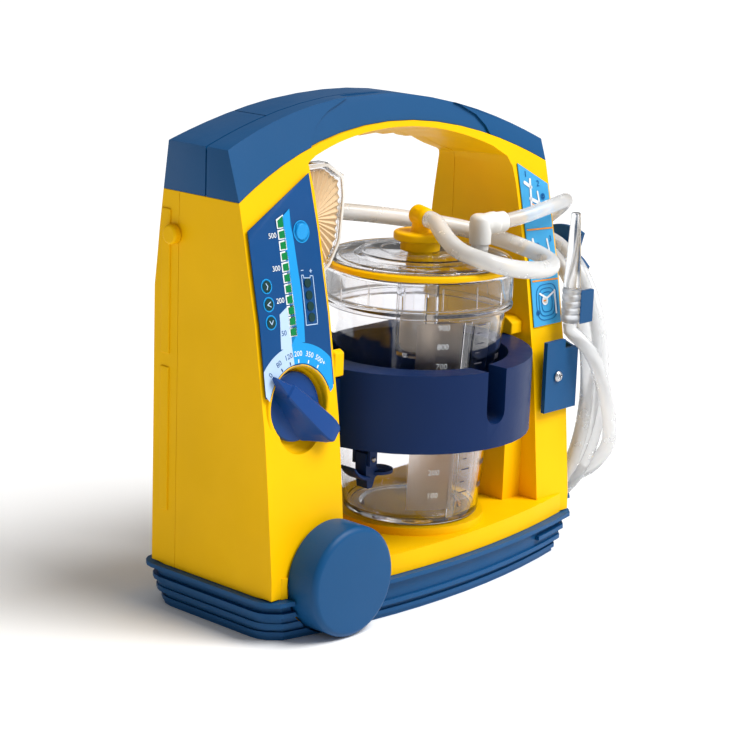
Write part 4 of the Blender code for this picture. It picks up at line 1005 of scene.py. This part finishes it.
def canister():
    low, high = CAN_LOW, CAN_HIGH
    outer = [(0.0, low + 2.2), (30.0, low + 2.2), (33.0, low), (can_radius(low) - 1.5, low),
             (can_radius(low + 2), low + 2.0), (can_radius(high), high)]
    inner = [(can_radius(high) - 2.0, high), (can_radius(low + 4) - 2.0, low + 5.0),
             (can_radius(low) - 5.5, low + 3.4), (33.0, low + 4.0), (0.0, low + 4.4)]
    profile = fillet(outer, 1.0) + fillet(inner, 1.2)
    piece("canister_clear", turned(profile, upright(*CAN), 144), CLEAR,
          replaces=["canister_body"])
    strip = wrapped_plate(-123.0, 14.5, 56.0, 178.0, 0.05, 0.35)
    piece("scale_strip", strip, FROST, angle=30)
    clear_parts = wrapped_plate(-104.2, 2.6, 50.0, 178.0, 0.05, 1.0)
    merge(clear_parts, wrapped_plate(-91.5, 7.2, 60.0, 176.0, 0.05, 0.5))
    piece("scale_rib", clear_parts, CLEAR, angle=30)
    marks = bmesh.new()
    pale = bmesh.new()
    for i in range(1, 10):
        z = 50.0 + 15.9 * i - 0.22 * i * i
        if z > 177.0:
            continue
        merge(marks, on_can(bar(0.0, z, 6.6, 0.7), math.radians(-92.5), 0.56))
        if i < 9:
            merge(marks, on_can(bar(-1.6, z + 7.0, 3.4, 0.5), math.radians(-92.5), 0.56))
        for target, theta, out in ((marks, -67.0, 0.1), (pale, -121.0, 0.42)):
            label = text_mesh(f"{i}00", 5.0, 0.12)
            label.transform(Matrix.Translation((0.0, z, 0.0)))
            merge(target, on_can(label, math.radians(theta), out))
    piece("scale_marks", marks, GREY_INK, angle=30)
    piece("scale_numbers", pale, WHITE_INK, angle=30)


def wrapped_plate(theta, half, low, high, out, thick):
    """A thin plate wrapped round the canister, centred on theta degrees."""
    across, along = 13, 25
    bm = bmesh.new()
    layers = []
    for depth in (0.0, thick):
        grid = []
        for i in range(along):
            v = low + (high - low) * i / (along - 1)
            grid.append([bm.verts.new((half * (2 * j / (across - 1) - 1), v, depth))
                         for j in range(across)])
        layers.append(grid)
    for grid in layers:
        for near, far in zip(grid, grid[1:]):
            for j in range(across - 1):
                bm.faces.new((near[j], near[j + 1], far[j + 1], far[j]))
    edge = [(0, j) for j in range(across - 1)] + [(i, across - 1) for i in range(along - 1)]
    edge += [(along - 1, j) for j in range(across - 1, 0, -1)]
    edge += [(i, 0) for i in range(along - 1, 0, -1)]
    skin(bm, [layers[0][i][j] for i, j in edge], [layers[1][i][j] for i, j in edge], len(edge))
    return on_can(bm, math.radians(theta), out)


def bar(u, v, wide, tall):
    bm = bmesh.new()
    outline = [(u - wide / 2 + wide * i / 4, v - tall / 2) for i in range(5)]
    outline += [(u + wide / 2 - wide * i / 4, v + tall / 2) for i in range(5)]
    return prism(outline, "Z", 0.0, 0.12, bm)


def lid():
    r = LID_R
    outer = [(9.0, 213.0), (38.0, 213.0), (41.0, 210.5), (r - 2.0, 210.0), (r - 1.2, 209.2),
             (r - 1.2, 208.0), (r - 4.0, 208.0), (r - 4.0, 203.8), (r - 0.6, 203.4), (r, 202.2),
             (r - 0.3, 184.0), (r + 0.5, 182.6), (r + 0.5, 180.6), (r - 0.8, 180.0)]
    inner = [(r - 3.0, 180.0), (r - 3.0, 185.0), (r - 4.5, 186.0), (r - 6.4, 201.0),
             (r - 8.6, 207.6), (40.0, 208.0), (36.5, 210.8), (9.0, 210.8)]
    profile = fillet(outer + inner, 0.7, 3, closed=True)
    piece("lid_clear", turned(profile, upright(*CAN), 144), CLEAR_LID,
          replaces=["canister_lid"])
    ribs = bmesh.new()
    for i in range(16):
        angle = 2 * math.pi * (i + 0.5) / 16
        rib = block((r - 0.15, -0.55, 186.0), (r + 0.25, 0.55, 200.5))
        rib.transform(upright(*CAN) @ Matrix.Rotation(angle, 4, "Z"))
        merge(ribs, rib)
    piece("lid_ribs", ribs, CLEAR_LID, width=0.2, segments=2)
    web = bmesh.new()
    for i in range(12):
        angle = 2 * math.pi * (i + 0.3) / 12
        rib = block((42.0, -0.5, 204.4), (r - 9.0, 0.5, 207.5))
        rib.transform(upright(*CAN) @ Matrix.Rotation(angle, 4, "Z"))
        merge(web, rib)
    piece("lid_webs", web, CLEAR_LID, angle=30)
    seal = fillet([(r - 0.1, 207.7), (r + 0.9, 207.0), (r + 0.9, 204.6), (r - 0.1, 203.9),
                   (r - 3.7, 204.1), (r - 3.7, 207.7)], 0.4, 3, closed=True)
    piece("seal_ring", turned(seal, upright(*CAN), 144), YELLOW,
          replaces=["lid_seal_ring"])
    circle = [(24.0, 213.1), (25.2, 213.1), (25.2, 214.0), (24.0, 214.0)]
    piece("lid_circle", turned(fillet(circle, 0.3, 2, closed=True), upright(*CAN), 96), CLEAR_LID)


def fittings():
    plate = 225.0
    profile = [(0.0, plate), (16.0, plate), (17.0, plate - 1.0), (17.0, plate - 4.6),
               (16.0, plate - 5.4), (12.5, plate - 5.4), (12.5, 213.3), (8.6, 213.3),
               (8.6, 198.0), (0.0, 198.0)]
    bm = turned(fillet(profile, 0.7, 3), upright(*CAN), 96)
    turned(fillet([(0.0, plate - 1), (7.4, plate - 1), (5.9, plate + 1.8), (5.6, 233.0),
                   (5.6, 238.0), (4.6, 239.6), (0.0, 239.8)], 0.8, 4), upright(*CAN), 64, bm)
    head = aimed(BARB, BARB_OUT)
    barb = [(0.0, -6.4), (5.2, -6.2), (6.4, -4.6), (6.4, 4.8), (5.4, 6.6), (0.0, 6.6)]
    turned(fillet(barb, 0.8, 4), head, 64, bm)
    piece("vacuum_port", bm, YELLOW, replaces=["vacuum_port_cap"], angle=50)
    x, y = PATIENT_PORT
    body = turned(fillet([(0.0, 232.5), (4.4, 232.5), (6.9, 230.4), (7.3, 226.0), (6.9, 213.3),
                          (5.6, 213.3), (5.6, 198.0), (0.0, 198.0)], 1.6, 5), upright(x, y), 64)
    arm = [(0.0, 0.0), (6.9, 0.0), (6.9, 5.0), (7.3, 8.2), (7.3, 11.2), (6.6, 12.0), (6.6, 18.6),
           (5.4, 19.0), (0.0, 19.0)]
    turned(fillet(arm, 0.6, 3), aimed((x, y, 225.6), ELBOW_OUT), 64, body)
    piece("elbow_white", body, WHITE, replaces=["patient_elbow"], angle=50)
    dress("float_cage", CLEAR, 0.3)
    dress("float_valve", CREAM, 0.6)


def holder():
    dress("canister_holder", NAVY, 1.8, 4)
    dress("release_lever", NAVY, 0.6)
    arc = [(-61.5, 92.5), (-58.0, 88.6), (-53.5, 85.6), (-47.0, 84.0)]
    wing = prism(arc + [(x, z - 2.6) for x, z in reversed(arc)], "Y", -49.0, -36.5)
    piece("release_wing", wing, NAVY, "canister_release", width=0.8)


# Filter


def filter_outline(shrink):
    half = [(9.0, 38.0), (23.5, 29.0), (25.2, 17.0), (22.5, -12.0), (13.5, -27.0), (6.0, -32.0)]
    corners = half + [(-a, b) for a, b in reversed(half)]
    across, up = 1 - shrink / 25, 1 - shrink / 38
    return [(FILTER[0] + a * across, FILTER[2] + b * up) for a, b in corners]


def filter_unit():
    y = FILTER[1]
    dress("filter_housing", CLEAR, 0.5)
    for name, outside, inside, low, high in (("filter_rim", 0.6, 2.4, -4.7, -3.7),
                                             ("filter_lip", 3.2, 4.4, -4.4, -3.7)):
        rim = bmesh.new()
        loops = []
        for shrink, level in ((outside, low), (inside, low), (inside, high), (outside, high)):
            outline = fillet(filter_outline(shrink), 2.0, 4, closed=True)
            loops.append([rim.verts.new((a, y + level, b)) for a, b in outline])
        for one, two in zip(loops, loops[1:] + loops[:1]):
            skin(rim, one, two, len(one))
        piece(name, rim, CLEAR_LID if name == "filter_lip" else WHITE, angle=30)
    media = bmesh.new()
    centre = Vector((FILTER[0] - 3.5, FILTER[2] + 4.0))
    edge = filter_outline(4.4)
    spots = []
    for i, corner in enumerate(edge):
        following = edge[(i + 1) % len(edge)]
        length = (Vector(following) - Vector(corner)).length
        count = max(2, 2 * round(length / 4.4))
        for step in range(count):
            spots.append(Vector(corner).lerp(Vector(following), step / count))
    front, hub, back_ring = [], [], []
    for i, spot in enumerate(spots):
        fold = 1.5 if i % 2 else 0.0
        front.append(media.verts.new((spot.x, y - 3.6 + fold, spot.y)))
        near = centre + (spot - centre) * 0.16
        hub.append(media.verts.new((near.x, y - 3.0 + fold * 0.3, near.y)))
        back_ring.append(media.verts.new((spot.x, y + 1.6, spot.y)))
    middle = media.verts.new((centre.x, y - 3.0, centre.y))
    behind = media.verts.new((centre.x, y + 1.6, centre.y))
    total = len(spots)
    for i in range(total):
        j = (i + 1) % total
        media.faces.new((front[i], front[j], hub[j], hub[i]))
        media.faces.new((hub[i], hub[j], middle))
        media.faces.new((front[j], front[i], back_ring[i], back_ring[j]))
        media.faces.new((back_ring[i], behind, back_ring[j]))
    piece("filter_pleats", media, PAPER, replaces=["filter_media"], angle=15)
    dress("filter_spigot", WHITE, 0.3)


# Tubing holder and suction tip


def tubing_side():
    dress("tubing_holder", BLUE, 0.7)
    dress("tip_clip", BLUE, 0.4)
    x, y = TIP
    tip = [(0.0, 229.0), (2.5, 229.0), (3.1, 228.2), (4.4, 205.0), (5.7, 182.0), (5.7, 178.3),
           (0.0, 178.3)]
    piece("suction_tip", turned(fillet(tip, 0.5, 3), upright(x, y), 64), TIP_CLEAR,
          replaces=["tip_connector"])
    grip = [(0.0, 178.0), (6.2, 178.0)]
    for i in range(4):
        z = 176.0 - 4.6 * i
        grip += [(6.2, z), (5.7, z - 0.6), (5.7, z - 1.4), (6.2, z - 2.0)]
    grip += [(6.2, 157.2), (5.4, 155.8), (0.0, 155.8)]
    piece("tip_grip", turned(fillet(grip, 0.3, 2), upright(x, y), 64), TIP_GREY,
          replaces=["tip_collar"])


camera()
studio()
tubing_side()
tubes()
housing()
cover_and_base()
panel_print()
lamps()
test_key()
knob_well()
knob_rim()
knob()
pictograms()
canister()
lid()
fittings()
holder()
filter_unit()
